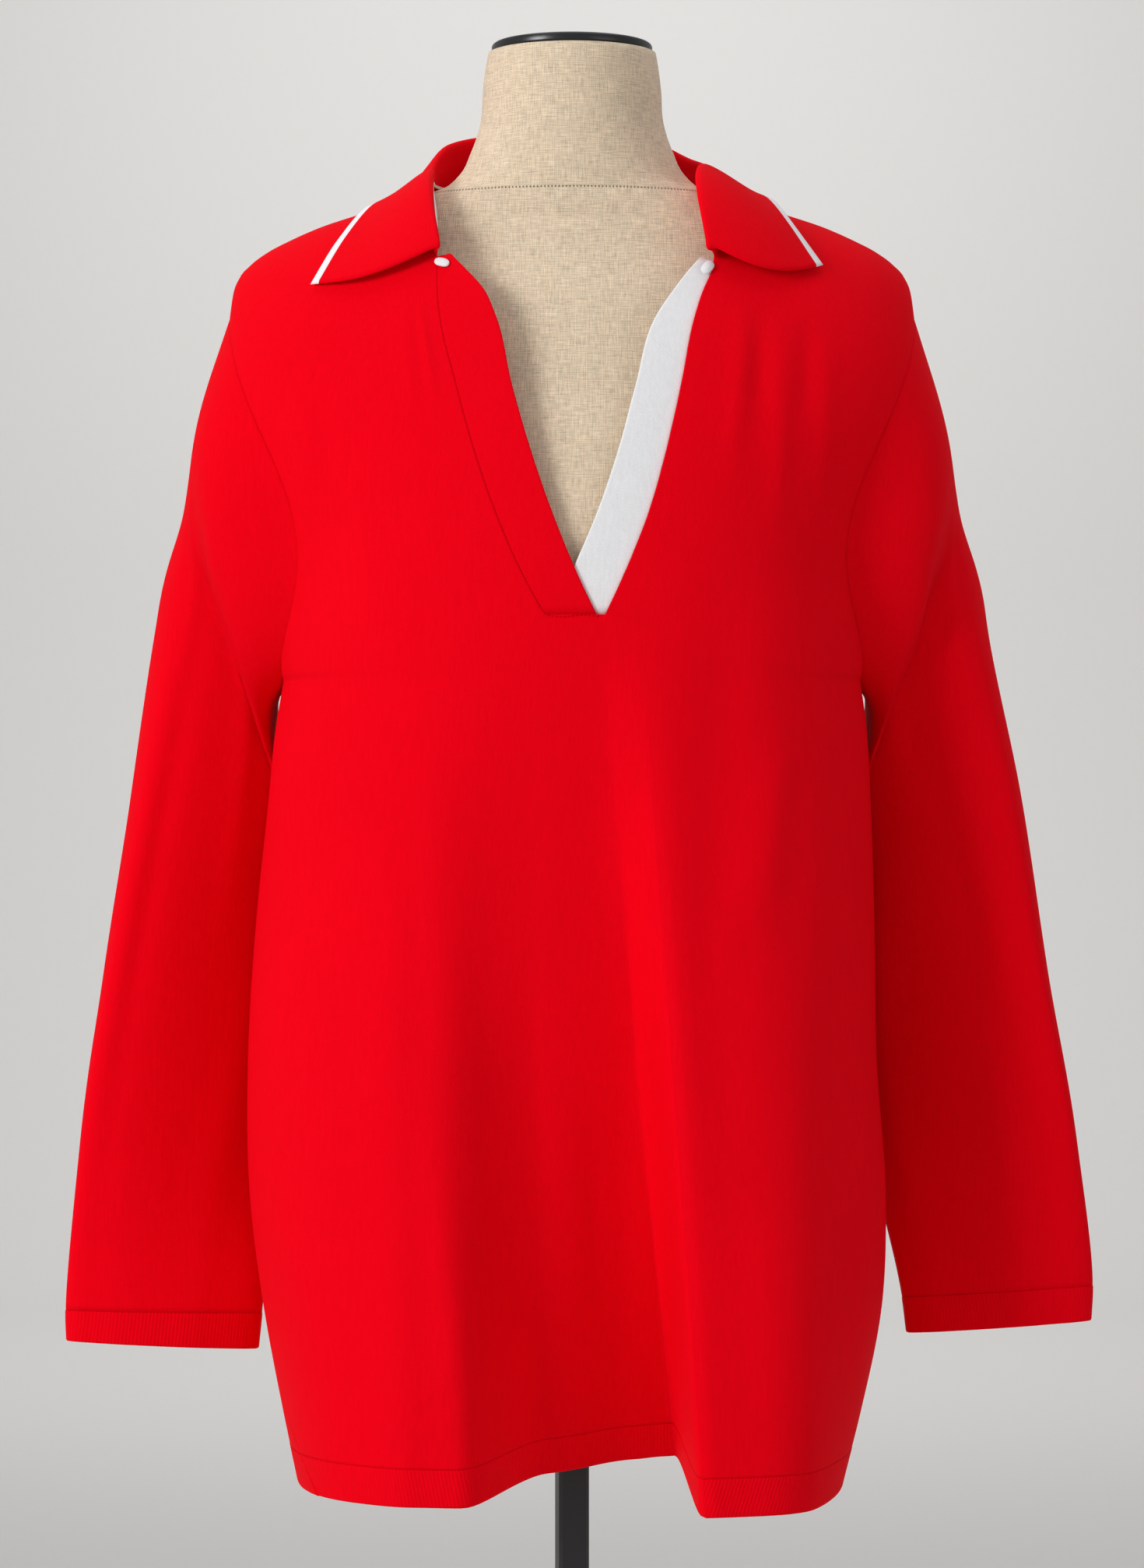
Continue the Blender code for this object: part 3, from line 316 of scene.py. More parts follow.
# Creases of the sleeves: w along the sleeve, and degrees round it for the places and
# the widths (0 outer edge, 90 front, 180 inner edge, 270 back).
SLEEVE_CREASES = {
    "left": table(
        CREASE,
        (0.02, 0.62, 70, 84, 92, 11, 9, 2, 0),
        (0.2, 0.94, 40, 34, 40, 12, 12, -2.2, 0.3),
        (0.1, 0.4, 24, 28, 26, 8, 9, 1.2, 0),
        (0.45, 0.95, 118, 112, 104, 14, 12, 1.8, 0.5),
        (0.3, 0.8, 140, 146, 150, 10, 12, -1.6, 0),
        (0.1, 0.55, 262, 270, 282, 14, 12, 2.2, 0),
        (0.35, 0.9, 310, 300, 296, 12, 12, -2, 0.3),
        (0.55, 0.96, 232, 240, 250, 12, 14, 1.6, 0.5),
    ),
    "right": table(
        CREASE,
        (0.02, 0.5, 92, 86, 78, 9, 12, 2, 0),
        (0.36, 0.95, 64, 56, 50, 10, 12, -2.6, 0.4),
        (0.3, 0.92, 118, 124, 130, 12, 10, 2, 0.4),
        (0.14, 0.46, 30, 26, 24, 9, 9, 1.2, 0),
        (0.1, 0.6, 284, 276, 268, 12, 14, 2, 0),
        (0.4, 0.9, 246, 252, 262, 12, 10, -2, 0.3),
        (0.55, 0.96, 306, 300, 290, 12, 12, 1.8, 0.5),
    ),
}


# ---------------------------------------------------------------- curves and surfaces

def through(at, values, x):
    """A smooth curve through the points (at, values), read at x: a cubic on each
    span, whose slopes are the weighted means of the slopes of the spans beside it."""
    x = np.clip(np.asarray(x, float), at[0], at[-1])
    span = np.diff(at)
    rise = np.diff(values) / span
    slope = np.empty_like(values)
    slope[1:-1] = (rise[:-1] * span[1:] + rise[1:] * span[:-1]) / (span[:-1] + span[1:])
    slope[0] = rise[0]
    slope[-1] = rise[-1]
    i = np.clip(np.searchsorted(at, x, side="right") - 1, 0, len(span) - 1)
    t = (x - at[i]) / span[i]
    low = values[i] + span[i] * slope[i] * t * (1 - t) ** 2 - values[i] * t**2 * (3 - 2 * t)
    high = values[i + 1] * t**2 * (3 - 2 * t) - span[i] * slope[i + 1] * t**2 * (1 - t)
    return low + high


def ease(t):
    """0 before t = 0, 1 after t = 1, and smooth between: 3 t^2 - 2 t^3."""
    t = np.clip(t, 0, 1)
    return t * t * (3 - 2 * t)


def unit(v):
    """The vectors v, each of length 1."""
    return v / np.maximum(np.linalg.norm(v, axis=-1, keepdims=True), 1e-12)


def runs(points, axis=0):
    """The length along each line of a grid, from its first point."""
    step = np.linalg.norm(np.diff(points, axis=axis), axis=-1)
    start = np.zeros_like(np.take(step, [0], axis=axis))
    return np.concatenate([start, np.cumsum(step, axis=axis)], axis=axis)


def fallen(z):
    """0 at the foot of the opening, 1 at the hem."""
    return np.clip((OPENING_Z - z) / (OPENING_Z - HEM_Z), 0, 1)


def front_recess(x, z):
    """How far the folds set the front back at x and height z: a plateau with two eased
    slopes for each fold, deeper as the power FOLD_GROWTH of the fall from the opening."""
    down = fallen(z)
    deep = np.zeros(np.broadcast(x, z).shape)
    for row in zip(*FRONT_FOLDS.values()):
        left_top, left_low, left_width, right_top, right_low, right_width, depth = row
        left = left_top + (left_low - left_top) * down
        right = right_top + (right_low - right_top) * down
        soft = FOLD_SOFT * (1 - down)
        rise = ease((x - left + soft / 2) / (left_width + soft))
        fall = ease((x - right + soft / 2) / (right_width + soft))
        deep += depth * rise * (1 - fall) * down**FOLD_GROWTH
    return deep


def back_recess(x, z):
    """How far the folds set the back forward at x and height z: eased tents."""
    down = np.clip((BACK_FOLD_Z - z) / (BACK_FOLD_Z - HEM_Z), 0, 1)
    deep = np.zeros(np.broadcast(x, z).shape)
    for top, low, half, depth in zip(*BACK_FOLDS.values()):
        middle = top + (low - top) * down
        deep += depth * ease(1 - np.abs(x - middle) / half) * down**BACK_FOLD_GROWTH
    return deep


def ring(z, angles):
    """Points of the body's ring at height z: each quarter is a superellipse, moved in
    by the folds. Angle 0 is the right side, 90 the front, 270 the back."""
    size = {name: through(BODY["z"], BODY[name], z) for name in BODY}
    cos, sin = np.cos(angles), np.sin(angles)
    to_right, to_front = cos > 0, sin > 0
    front_power = np.where(to_right, size["n_right"], size["n_left"])
    power = np.where(to_front, front_power, size["n_back"])
    half = np.where(to_right, size["right"], -size["left"])
    x = half * np.abs(cos) ** (2 / power)
    depth = np.where(to_front, -size["front"], size["back"])
    y = depth * np.abs(sin) ** (2 / power)
    inside = ease(np.abs(sin) / 0.35)
    recess = np.where(to_front, front_recess(x, z), 0) * inside
    y += recess - np.where(to_front, 0, back_recess(x, z)) * inside
    lift = HEM_LIFT * recess * np.clip((UNDERARM_Z - z) / (UNDERARM_Z - HEM_Z), 0, 1)
    return np.stack([x, y, z + lift], axis=-1)


def shares(counts):
    """For each section between two stops, places from 0 to 1 that lie closer together
    next to the first and the last stop, where the cloth ends in a seam."""
    sections = []
    for k, count in enumerate(counts):
        t = np.arange(count) / count
        if k == 0:
            t = t**1.5
        elif k == len(counts) - 1:
            t = 1 - (1 - t) ** 1.5
        sections.append(t)
    return sections


def spaced(points, stops, counts):
    """Points along a line, in sections between the stops, which are lengths on it."""
    run = runs(points)
    places = [a + (b - a) * t for a, b, t in zip(stops, stops[1:], shares(counts))]
    places = np.concatenate(places + [[stops[-1]]])
    return np.stack([np.interp(places, run, points[:, k]) for k in range(3)], axis=-1)


def run_at(points, x):
    """The length along a line of points at which it passes each x."""
    run = runs(points)
    return np.interp(x, points[:, 0], run), run[-1]


def front_lines(z):
    """x of the lines that the front's columns follow, at height z."""
    return FRONT_LINES["top"] + (FRONT_LINES["low"] - FRONT_LINES["top"]) * fallen(z)


def side_angles(z):
    """The angles of the left and right side seams on the ring at height z."""
    left = np.pi - np.radians(through(BODY["z"], BODY["seam_left"], z))
    return left, np.radians(through(BODY["z"], BODY["seam_right"], z))


def front_ring(z):
    """The front's row at height z, from the left side seam to the right one."""
    points = ring(z, np.linspace(*side_angles(z), RING_SAMPLES))
    stops, end = run_at(points, front_lines(z))
    return spaced(points, [0, *stops, end], FRONT_COLUMNS)


def back_ring(z):
    """The back's row at height z, from the left side seam to the right one."""
    left, right = side_angles(z)
    points = ring(z, np.linspace(left, right + 2 * np.pi, RING_SAMPLES))
    behind = points[:, 1] > 0
    stops, _ = run_at(points[behind], [-NECK_HALF, NECK_HALF])
    run = runs(points)
    return spaced(points, [0, *(stops + run[np.argmax(behind)]), run[-1]], BACK_COLUMNS)


def sleeve_middle(rows, w):
    """The middle of a sleeve's section at w."""
    ends = [[through(rows["w"], rows[end + axis], w) for axis in "xyz"]
            for end in ("outer_", "inner_")]
    return np.mean(ends, axis=0)


def sleeve_section(side, w, angles):
    """One section of a sleeve: half an ellipse in front and half an ellipse behind the
    line from its outer edge (angle 0) to its inner edge (180). At the armhole (w = 0)
    the line bows in towards the chest, low on the front and the back."""
    rows = SLEEVES[side]
    at = {name: through(rows["w"], rows[name], w) for name in rows}
    outer = np.array([at["outer_" + axis] for axis in "xyz"])
    inner = np.array([at["inner_" + axis] for axis in "xyz"])
    down = sleeve_middle(rows, min(w + 0.03, 1)) - sleeve_middle(rows, max(w - 0.03, 0))
    half = (outer - inner) / 2
    off = unit(np.cross(half, down))
    turned = ease(w / SLEEVE_TURN)
    off = unit(-off * np.sign(off[1]) * turned + np.array([0, -1, 0]) * (1 - turned))
    cos, sin = np.cos(angles), np.sin(angles)
    depth = np.where(sin > 0, at["front"], at["back"]) * sin
    points = (outer + inner) / 2 + half * cos[:, None] + off * depth[:, None]
    points[:, 0] -= ARMHOLE_BOW * (1 - ease(w / ARMHOLE_REACH)) * sin**4 * (1 - cos) / 2
    return points * np.array([-1 if side == "left" else 1, 1, 1])


def depth_share(level, face):
    """The share of the chest's depth left at a level: (1 - level^n)^(1/n)."""
    return (1 - np.clip(level, 0, 1) ** UPWARD[face]) ** (1 / UPWARD[face])


def level_of(share, face):
    """The level at which a share of the chest's depth is left."""
    return (1 - np.clip(share, 0, 1) ** UPWARD[face]) ** (1 / UPWARD[face])


def shoulder_z(x, face):
    """Height of the shoulder seam at x. On the back it rises behind the neck."""
    z = through(SHOULDER["x"], SHOULDER["z"], np.abs(x))
    if face == "back":
        z = z + NAPE_RISE * (1 - np.minimum(np.abs(x) / NECK_HALF, 1) ** 2) ** 2
    return z


def armhole(side, face):
    """The armhole's line on one face: for a row of angles, its points, its levels,
    and the half-width that a level's ring has if it passes through that point."""
    bend = np.linspace(0, np.pi, ARMHOLE_SAMPLES)
    angles = bend if face == "front" else 2 * np.pi - bend
    points = sleeve_section(side, 0, angles)
    top = shoulder_z(points[:, 0], face)
    level = np.clip((points[:, 2] - UNDERARM_Z) / (top - UNDERARM_Z), 0, 1)
    level[0], level[-1] = 1, 0
    depth = CHEST[face] * depth_share(level, face)
    ratio = np.abs(points[:, 1]) / np.maximum(depth, 1e-9)
    ratio[0] = ratio[1]
    half = np.abs(points[:, 0]) / (1 - np.minimum(ratio, 0.95) ** ACROSS) ** (1 / ACROSS)
    return {"angle": angles[::-1], "level": level[::-1], "half": half[::-1]}


CHEST = {"front": BODY["front"][-1], "back": BODY["back"][-1]}
ARMHOLES = {(side, face): armhole(side, face) for side in SLEEVES for face in CHEST}


def edge_angle(side, face, level):
    """The angle of the armhole's line at a level."""
    hole = ARMHOLES[side, face]
    return np.interp(level, hole["level"], hole["angle"])


def upper(x, level, face):
    """A point of the upper body's front or back at x and level: its depth is the
    chest's, times what the level leaves, times a superellipse across."""
    x, level = np.broadcast_arrays(np.asarray(x, float), np.asarray(level, float))
    halves = [np.interp(level, ARMHOLES[s, face]["level"], ARMHOLES[s, face]["half"])
              for s in ("left", "right")]
    half = np.where(x < 0, halves[0], halves[1])
    z = UNDERARM_Z + (shoulder_z(x, face) - UNDERARM_Z) * level
    across = (1 - np.minimum(np.abs(x) / half, 1) ** ACROSS) ** (1 / ACROSS)
    depth = CHEST[face] * depth_share(level, face) * across
    if face == "front":
        y = -depth + front_recess(x, z)
    else:
        y = depth - back_recess(x, z)
    return np.stack([x, y, z], axis=-1)


def opening_x(name, level):
    """x of one of the opening's lines at a level of the front."""
    x = np.zeros(np.shape(level))
    for _ in range(8):
        z = UNDERARM_Z + (shoulder_z(x, "front") - UNDERARM_Z) * level
        x = through(OPENING["z"], OPENING[name], z)
    return x


def nape_level(x):
    """The level of the back's top edge: the shoulder seam, or the back neckline."""
    inside = np.clip(np.abs(x) / NECK_HALF, 0, 1)
    depth = NAPE_DEPTH * np.sqrt(1 - inside**2)
    return level_of(depth / CHEST["back"], "back")


OPENING_LEVEL = (OPENING_Z - UNDERARM_Z) / (SHOULDER["z"][0] - UNDERARM_Z)
RISE = np.sin((1 - (1 - np.linspace(0, 1, UPPER_ROWS + 1)) ** 1.25) * np.pi / 2)
FRONT_LEVELS = np.concatenate([
    np.linspace(0, OPENING_LEVEL, SLOT_ROWS, endpoint=False),
    OPENING_LEVEL + (1 - OPENING_LEVEL) * RISE,
])
COLLAR_ROW = np.argmin(np.abs(FRONT_LEVELS - COLLAR_FRONT_LEVEL))
FRONT_LEVELS[COLLAR_ROW] = COLLAR_FRONT_LEVEL
BACK_LEVELS = np.concatenate([
    np.linspace(0, BACK_LOW, SLOT_ROWS, endpoint=False),
    BACK_LOW + (1 - BACK_LOW) * RISE,
])


def armhole_point(side, face, level):
    """The point where a level's row ends at the armhole."""
    return sleeve_section(side, 0, np.array([edge_angle(side, face, level)]))[0]


def upper_row(face, level, inner, counts):
    """A row of the upper body at a level, through inner x values, ending at the
    armholes, with points spaced along the cloth between those places."""
    ends = [armhole_point(side, face, level) for side in ("left", "right")]
    x = np.linspace(ends[0][0], ends[1][0], ROW_SAMPLES)
    height = level * nape_level(x) if face == "back" else level
    points = upper(x, height, face)
    stops, end = run_at(points, inner)
    row = spaced(points, [0, *stops, end], counts)
    row[0], row[-1] = ends
    return row


def body_heights():
    """Heights of the rows from the hem band up to the underarm, closer at the band."""
    t = (np.arange(BODY_ROWS) / BODY_ROWS) ** 1.15
    return HEM_Z + HEM_BAND + (UNDERARM_Z - HEM_Z - HEM_BAND) * t


def front_grid():
    """The front's middle surface, from the top of the hem band to the shoulders, and
    which of its cells are cloth: those of the open slot aren't."""
    rows = [front_ring(z) for z in body_heights()]
    for level in FRONT_LEVELS:
        seam_left, seam_right = opening_x("seam_left", level), opening_x("seam_right", level)
        if level < OPENING_LEVEL:
            inner = front_lines(UNDERARM_Z + level * (SHOULDER["z"][0] - UNDERARM_Z))
        else:
            side = 0.030 * (1 - 0.6 * level)
            inner = [seam_left - side, seam_left, seam_right, seam_right + 0.6 * side]
        rows.append(upper_row("front", level, inner, FRONT_COLUMNS))
    grid = np.array(rows)
    cloth = np.ones((grid.shape[0] - 1, grid.shape[1] - 1), bool)
    first = FRONT_COLUMNS[0] + FRONT_COLUMNS[1]
    cloth[BODY_ROWS + SLOT_ROWS:, first:first + FRONT_COLUMNS[2]] = False
    return grid, cloth


def back_grid():
    """The back's middle surface, from the top of the hem band to its top edge."""
    rows = [back_ring(z) for z in body_heights()]
    for level in BACK_LEVELS:
        rows.append(upper_row("back", level, [-NECK_HALF, NECK_HALF], BACK_COLUMNS))
    return np.array(rows)


def band_grid(row_of):
    """A hem band's middle surface, its rows closer at both edges."""
    t = (1 - np.cos(np.linspace(0, np.pi, BAND_ROWS + 1))) / 2
    return np.array([row_of(z) for z in HEM_Z + HEM_BAND * t])


def sleeve_angles(side):
    """The angles of a sleeve's lines: one for each row of the front and of the back,
    so that the sleeve meets them point by point."""
    front = edge_angle(side, "front", FRONT_LEVELS)[::-1]
    back = edge_angle(side, "back", BACK_LEVELS)
    return np.concatenate([front, back[1:-1]])


def sleeve_stations(cuff):
    """Places along a sleeve or a cuff, closer together at its seams and its end."""
    if cuff:
        t = (1 - np.cos(np.linspace(0, np.pi, BAND_ROWS + 1))) / 2
        return CUFF_START + (1 - CUFF_START) * t
    t = np.linspace(0, 1, SLEEVE_ROWS + 1)
    return CUFF_START * (0.75 * t + 0.25 * (1 - np.cos(np.pi * t)) / 2)


def sleeve_grid(side, cuff):
    """A sleeve's or a cuff's middle surface."""
    angles = sleeve_angles(side)
    return np.array([sleeve_section(side, w, angles) for w in sleeve_stations(cuff)])


def neck_line(at):
    """x and level of the neck seam at a station of the collar, from its left front
    end (0) to its right one (1). A level over 1 is on the back."""
    half = np.minimum(at, 1 - at)
    sign = np.where(at < 0.5, -1, 1)
    front = half < COLLAR_TURN
    rise = np.sin(np.minimum(half / COLLAR_TURN, 1) * np.pi / 2)
    level = COLLAR_FRONT_LEVEL + (1 - COLLAR_FRONT_LEVEL) * rise
    front_x = np.where(sign < 0, opening_x("seam_left", np.minimum(level, 1)),
                       opening_x("seam_right", np.minimum(level, 1)))
    turn = np.clip((half - COLLAR_TURN) / (0.5 - COLLAR_TURN), 0, 1) * np.pi / 2
    back_x = sign * NECK_HALF * np.cos(turn)
    return np.where(front, front_x, back_x), np.where(front, level, 2 - nape_level(back_x))


def over_panel(x, level):
    """The place on the body at x and level, and its outward direction."""
    def place(x, level):
        front = upper(x, np.minimum(level, 1), "front")
        back = upper(x, np.clip(2 - level, 0, 1), "back")
        return np.where((level <= 1)[..., None], front, back)

    step_x, step_level = 0.002, 0.01
    along = place(x + step_x, level) - place(x - step_x, level)
    up = place(x, level + step_level) - place(x, level - step_level)
    return place(x, level), unit(np.cross(along, up))


def collar_points(at, places):
    """Points of the collar's middle surface at stations, and at places across it:
    0 is its foot, 1 is up the stand, 2 is the roll, 3 is down the fall and 4 is its
    outer edge. Each point has a place on the body, a height that is upright behind the
    neck and square to the body at the front ends, and a distance off the body."""
    size = {name: through(COLLAR["at"], COLLAR[name], at) for name in COLLAR}
    neck_x, neck_level = neck_line(at)
    half = np.minimum(at, 1 - at)
    on_front = half < COLLAR_TURN
    tops = [shoulder_z(size["edge_x"], face) for face in ("front", "back")]
    top = np.where(on_front, *tops)
    edge = np.minimum((size["edge_z"] - UNDERARM_Z) / (top - UNDERARM_Z), 1)
    edge_level = np.where(on_front, edge, 2 - edge)
    zero = np.zeros_like(at)
    keys = np.arange(5.0)
    over = np.minimum(size["roll"], 0)
    out = np.array([zero, over * 0.6, size["roll"], zero + 0.55, zero + 1])
    high = size["stand"] * np.array([zero, COLLAR_UP + 1.2 * over, zero + 1, size["mid"], zero])
    off = np.array([zero + COLLAR_FOOT, COLLAR_FOOT - size["lean"], zero + 0.003,
                    size["lift"] + size["bulge"], size["lift"]])
    out, high, off = (
        np.array([through(keys, column, place) for column, place in zip(rows.T, places.T)]).T
        for rows in (out, high, off))
    x = neck_x + (size["edge_x"] - neck_x) * out
    level = neck_level + (edge_level - neck_level) * out
    level += size["sag"] * 4 * np.clip(out, 0, 1) * (1 - np.clip(out, 0, 1))
    place, normal = over_panel(x, level)
    upright = ease((half - 0.04) / 0.16)[:, None]
    rise = unit(normal * (1 - upright) + np.array([0, 0, 1]) * upright)
    return place + rise * high[..., None] + normal * off[..., None]


# ---------------------------------------------------------------- walls of cloth

def cells(shape, cloth=None, loop=False):
    """Corner numbers of the grid's cells that are cloth."""
    number = np.arange(shape[0] * shape[1]).reshape(shape[:2])
    right = np.roll(number, -1, axis=1)
    if not loop:
        number, right = number[:, :-1], right[:, :-1]
    quads = np.stack([number[:-1], right[:-1], right[1:], number[1:]], axis=-1)
    return quads[cloth] if cloth is not None else quads.reshape(-1, 4)


def grid_normals(grid, quads):
    """The outward direction at each point: the mean of the cells round it."""
    points = grid.reshape(-1, 3)
    a, b, c, d = (points[quads[:, k]] for k in range(4))
    across = np.cross(c - a, d - b)
    normals = np.zeros_like(points)
    for k in range(4):
        np.add.at(normals, quads[:, k], across)
    return unit(normals).reshape(grid.shape)


def ridges(rows, along, across):
    """Heights of the creases in a table at places along and across, in metres: each is
    a bell round a line that bends through three places, and it fades in at its start
    and out at its end."""
    total = np.zeros(np.broadcast(along, across).shape)
    for start, end, first, middle, last, before, after, height, held in zip(*rows.values()):
        t = (along - start) / (end - start)
        inside = np.clip(t, 0, 1)
        centre = (first * (1 - inside) * (1 - 2 * inside) + middle * 4 * inside * (1 - inside)
                  + last * inside * (2 * inside - 1))
        off = across - centre
        bell = np.exp(-((off / np.where(off < 0, before, after)) ** 2))
        fade = ease(t / 0.4) * (1 - (1 - held) * ease((t - 0.55) / 0.45))
        total += height * 0.001 * bell * fade
    return total


def body_relief(grid, normals, face):
    """The creases of the body on a grid of its cloth: the front's table where the
    cloth faces forward and the back's where it faces backward."""
    toward = ease(np.abs(normals[..., 1]) / 0.5)
    rows = FRONT_CREASES if face == "front" else BACK_CREASES
    strength = bpy.context.scene.sweater.crease_strength
    return ridges(rows, grid[..., 2], grid[..., 0]) * toward * strength


def sleeve_relief(side, stations, angles):
    """The creases of a sleeve, at its stations and angles."""
    degrees = np.degrees(angles) % 360
    strength = bpy.context.scene.sweater.crease_strength
    return ridges(SLEEVE_CREASES[side], stations[:, None], degrees[None, :]) * strength


def thickness(grid, thick, free, cloth=None, loop=False):
    """The cloth's thickness at each point of a grid. It is round at its free edges,
    where it starts thin, and a little thinner along its seams."""
    across, up = runs(grid, 1), runs(grid, 0)
    near = {"low": up, "high": up[-1] - up}
    if not loop:
        near.update(first=across, last=across[:, -1:] - across)
    if cloth is not None:
        first = FRONT_COLUMNS[0] + FRONT_COLUMNS[1]
        open_rows = slice(BODY_ROWS + SLOT_ROWS, None)
        row = across[open_rows]
        near["slot"] = np.full_like(across, 1.0)
        near["slot"][open_rows] = np.minimum(
            np.abs(row - row[:, first:first + 1]),
            np.abs(row - row[:, first + FRONT_COLUMNS[2]:first + FRONT_COLUMNS[2] + 1]))
    share = 1.0
    for edge, distance in near.items():
        start = FREE_EDGE if edge in free else SEAM_EDGE
        t = np.clip(distance / (0.6 * thick), 0, 1)
        share = np.minimum(share, start + (1 - start) * np.sqrt(1 - (1 - t) ** 2))
    return thick * share


def cut_map(grid):
    """Where each point of the cloth lies on the flat cut, in metres: the length along
    its row from the middle column, and the length up its column."""
    across = runs(grid, 1)
    middle = grid.shape[1] // 2
    return np.stack([across - across[:, middle:middle + 1], runs(grid, 0)], axis=-1)


def wall(name, grid, thick, finish, free=(), cloth=None, loop=False, normals=None, flat=None):
    """A closed wall of cloth round a grid of points on its middle: the points moved out
    and in by half of the thickness, which is less near the edges, with a rim where only
    one cell has an edge. The flat map follows the cut, round the seam of a tube too."""
    quads = cells(grid.shape, cloth, loop)
    if normals is None:
        normals = grid_normals(grid, quads)
    if flat is None:
        flat = cut_map(grid)
    half = thickness(grid, thick, free, cloth, loop)[..., None] / 2
    middle = grid.reshape(-1, 3)
    off = (normals * half).reshape(-1, 3)
    total = len(middle)
    points = np.concatenate([middle + off, middle - off])
    edges = np.concatenate([quads[:, [k, (k + 1) % 4]] for k in range(4)])
    lone = ~np.isin(edges[:, 0] * total + edges[:, 1], edges[:, 1] * total + edges[:, 0])
    rim = edges[lone]
    rims = np.stack([rim[:, 1], rim[:, 0], rim[:, 0] + total, rim[:, 1] + total], axis=-1)
    faces = np.concatenate([quads, quads[:, ::-1] + total, rims])
    corners = np.tile(flat.reshape(-1, 2), (2, 1))[faces]
    if loop:
        girth = runs(np.concatenate([grid, grid[:, :1]], axis=1), 1)[:, -1].max()
        u = corners[..., 0]
        split = u.max(axis=1, keepdims=True) - u.min(axis=1, keepdims=True) > girth / 2
        corners[..., 0] += np.where(split & (u < 0), girth, 0)
    used, faces = np.unique(faces, return_inverse=True)
    return surface(name, points[used], faces.reshape(-1, 4), finish, corners)


def surface(name, points, faces, finish, flat=None):
    """A mesh object from points, faces with the same number of corners, and a flat
    place for each corner of each face."""
    mesh = bpy.data.meshes.new(name)
    count, corners = faces.shape
    mesh.vertices.add(len(points))
    mesh.vertices.foreach_set("co", np.ascontiguousarray(points, np.float32).ravel())
    mesh.loops.add(count * corners)
    mesh.loops.foreach_set("vertex_index", np.ascontiguousarray(faces, np.int32).ravel())
    mesh.polygons.add(count)
    mesh.polygons.foreach_set("loop_start", np.arange(0, count * corners, corners, dtype=np.int32))
    mesh.update(calc_edges=True)
    if flat is not None:
        layer = mesh.uv_layers.new(name="cut")
        layer.data.foreach_set("uv", flat.astype(np.float32).ravel())
    mesh.validate()
    mesh.shade_smooth()
    mesh.materials.append(finish)
    made = bpy.data.objects.new(name, mesh)
    bpy.context.scene.collection.objects.link(made)
    return made


def lathe(name, profile, finish, sides, middle=(0, 0)):
    """A round solid: a profile of (radius, height) turned about an upright line, closed
    at both ends by a small fan of cells."""
    profile = np.array(profile, float)
    turn = np.linspace(0, 2 * np.pi, sides, endpoint=False)
    circle = np.stack([np.cos(turn), np.sin(turn)], axis=-1)
    rings = [np.column_stack([circle * r + middle, np.full(sides, z)]) for r, z in profile]
    ends = [np.column_stack([circle * 1e-4 + middle, np.full(sides, z)])
            for z in profile[[0, -1], 1]]
    grid = np.array([ends[0], *rings, ends[1]])
    return closed_tube(name, grid, finish)


def closed_tube(name, grid, finish, flat=None):
    """A closed surface from rings, with one point at each end."""
    quads = cells(grid.shape, None, True)
    count = grid.shape[1]
    last = grid.shape[0] * count - count
    points = np.concatenate([grid.reshape(-1, 3), [grid[0].mean(0)], [grid[-1].mean(0)]])
    ring_low, ring_high = np.arange(count), np.arange(count) + last
    low = np.stack([np.roll(ring_low, -1), ring_low, np.full(count, len(points) - 2)], -1)
    high = np.stack([ring_high, np.roll(ring_high, -1), np.full(count, len(points) - 1)], -1)
    triangles = np.concatenate([quads[:, [0, 1, 2]], quads[:, [0, 2, 3]], low, high])
    if flat is not None:
        flat = np.concatenate([flat.reshape(-1, 2), flat[0, :1], flat[-1, :1]])[triangles]
    return surface(name, points, triangles, finish, flat)


def join_rows(upper_part, lower_part):
    """Opens a level seam between two pieces, each a (grid, normals): the first's
    lowest row from the second's highest. Both rims get the same lean."""
    (top, top_lean), (bottom, bottom_lean) = upper_part, lower_part
    lean = unit(top_lean[0] + bottom_lean[-1])
    top_lean[0], bottom_lean[-1] = lean, lean
    top[0, :, 2] += SEAM_GAP / 2
    bottom[-1, :, 2] -= SEAM_GAP / 2


def join_sides(front, back):
    """Opens both side seams between a front piece and a back piece, up to the
    underarm at the most."""
    count = min(BODY_ROWS + 1, len(front[0]))
    rows = np.arange(count)
    for column, inside in ((0, 1), (-1, -2)):
        seam = back[0][rows, column].copy()
        lean = unit(front[1][rows, column] + back[1][rows, column])
        away = unit(np.cross(lean, np.gradient(seam, axis=0)))
        toward = back[0][rows, inside] - seam
        away *= np.sign(np.sum(away * toward, axis=1, keepdims=True)) * SEAM_GAP / 2
        for (grid, normals), step in ((front, -1), (back, 1)):
            grid[rows, column] += away * step
            normals[rows, column] = lean


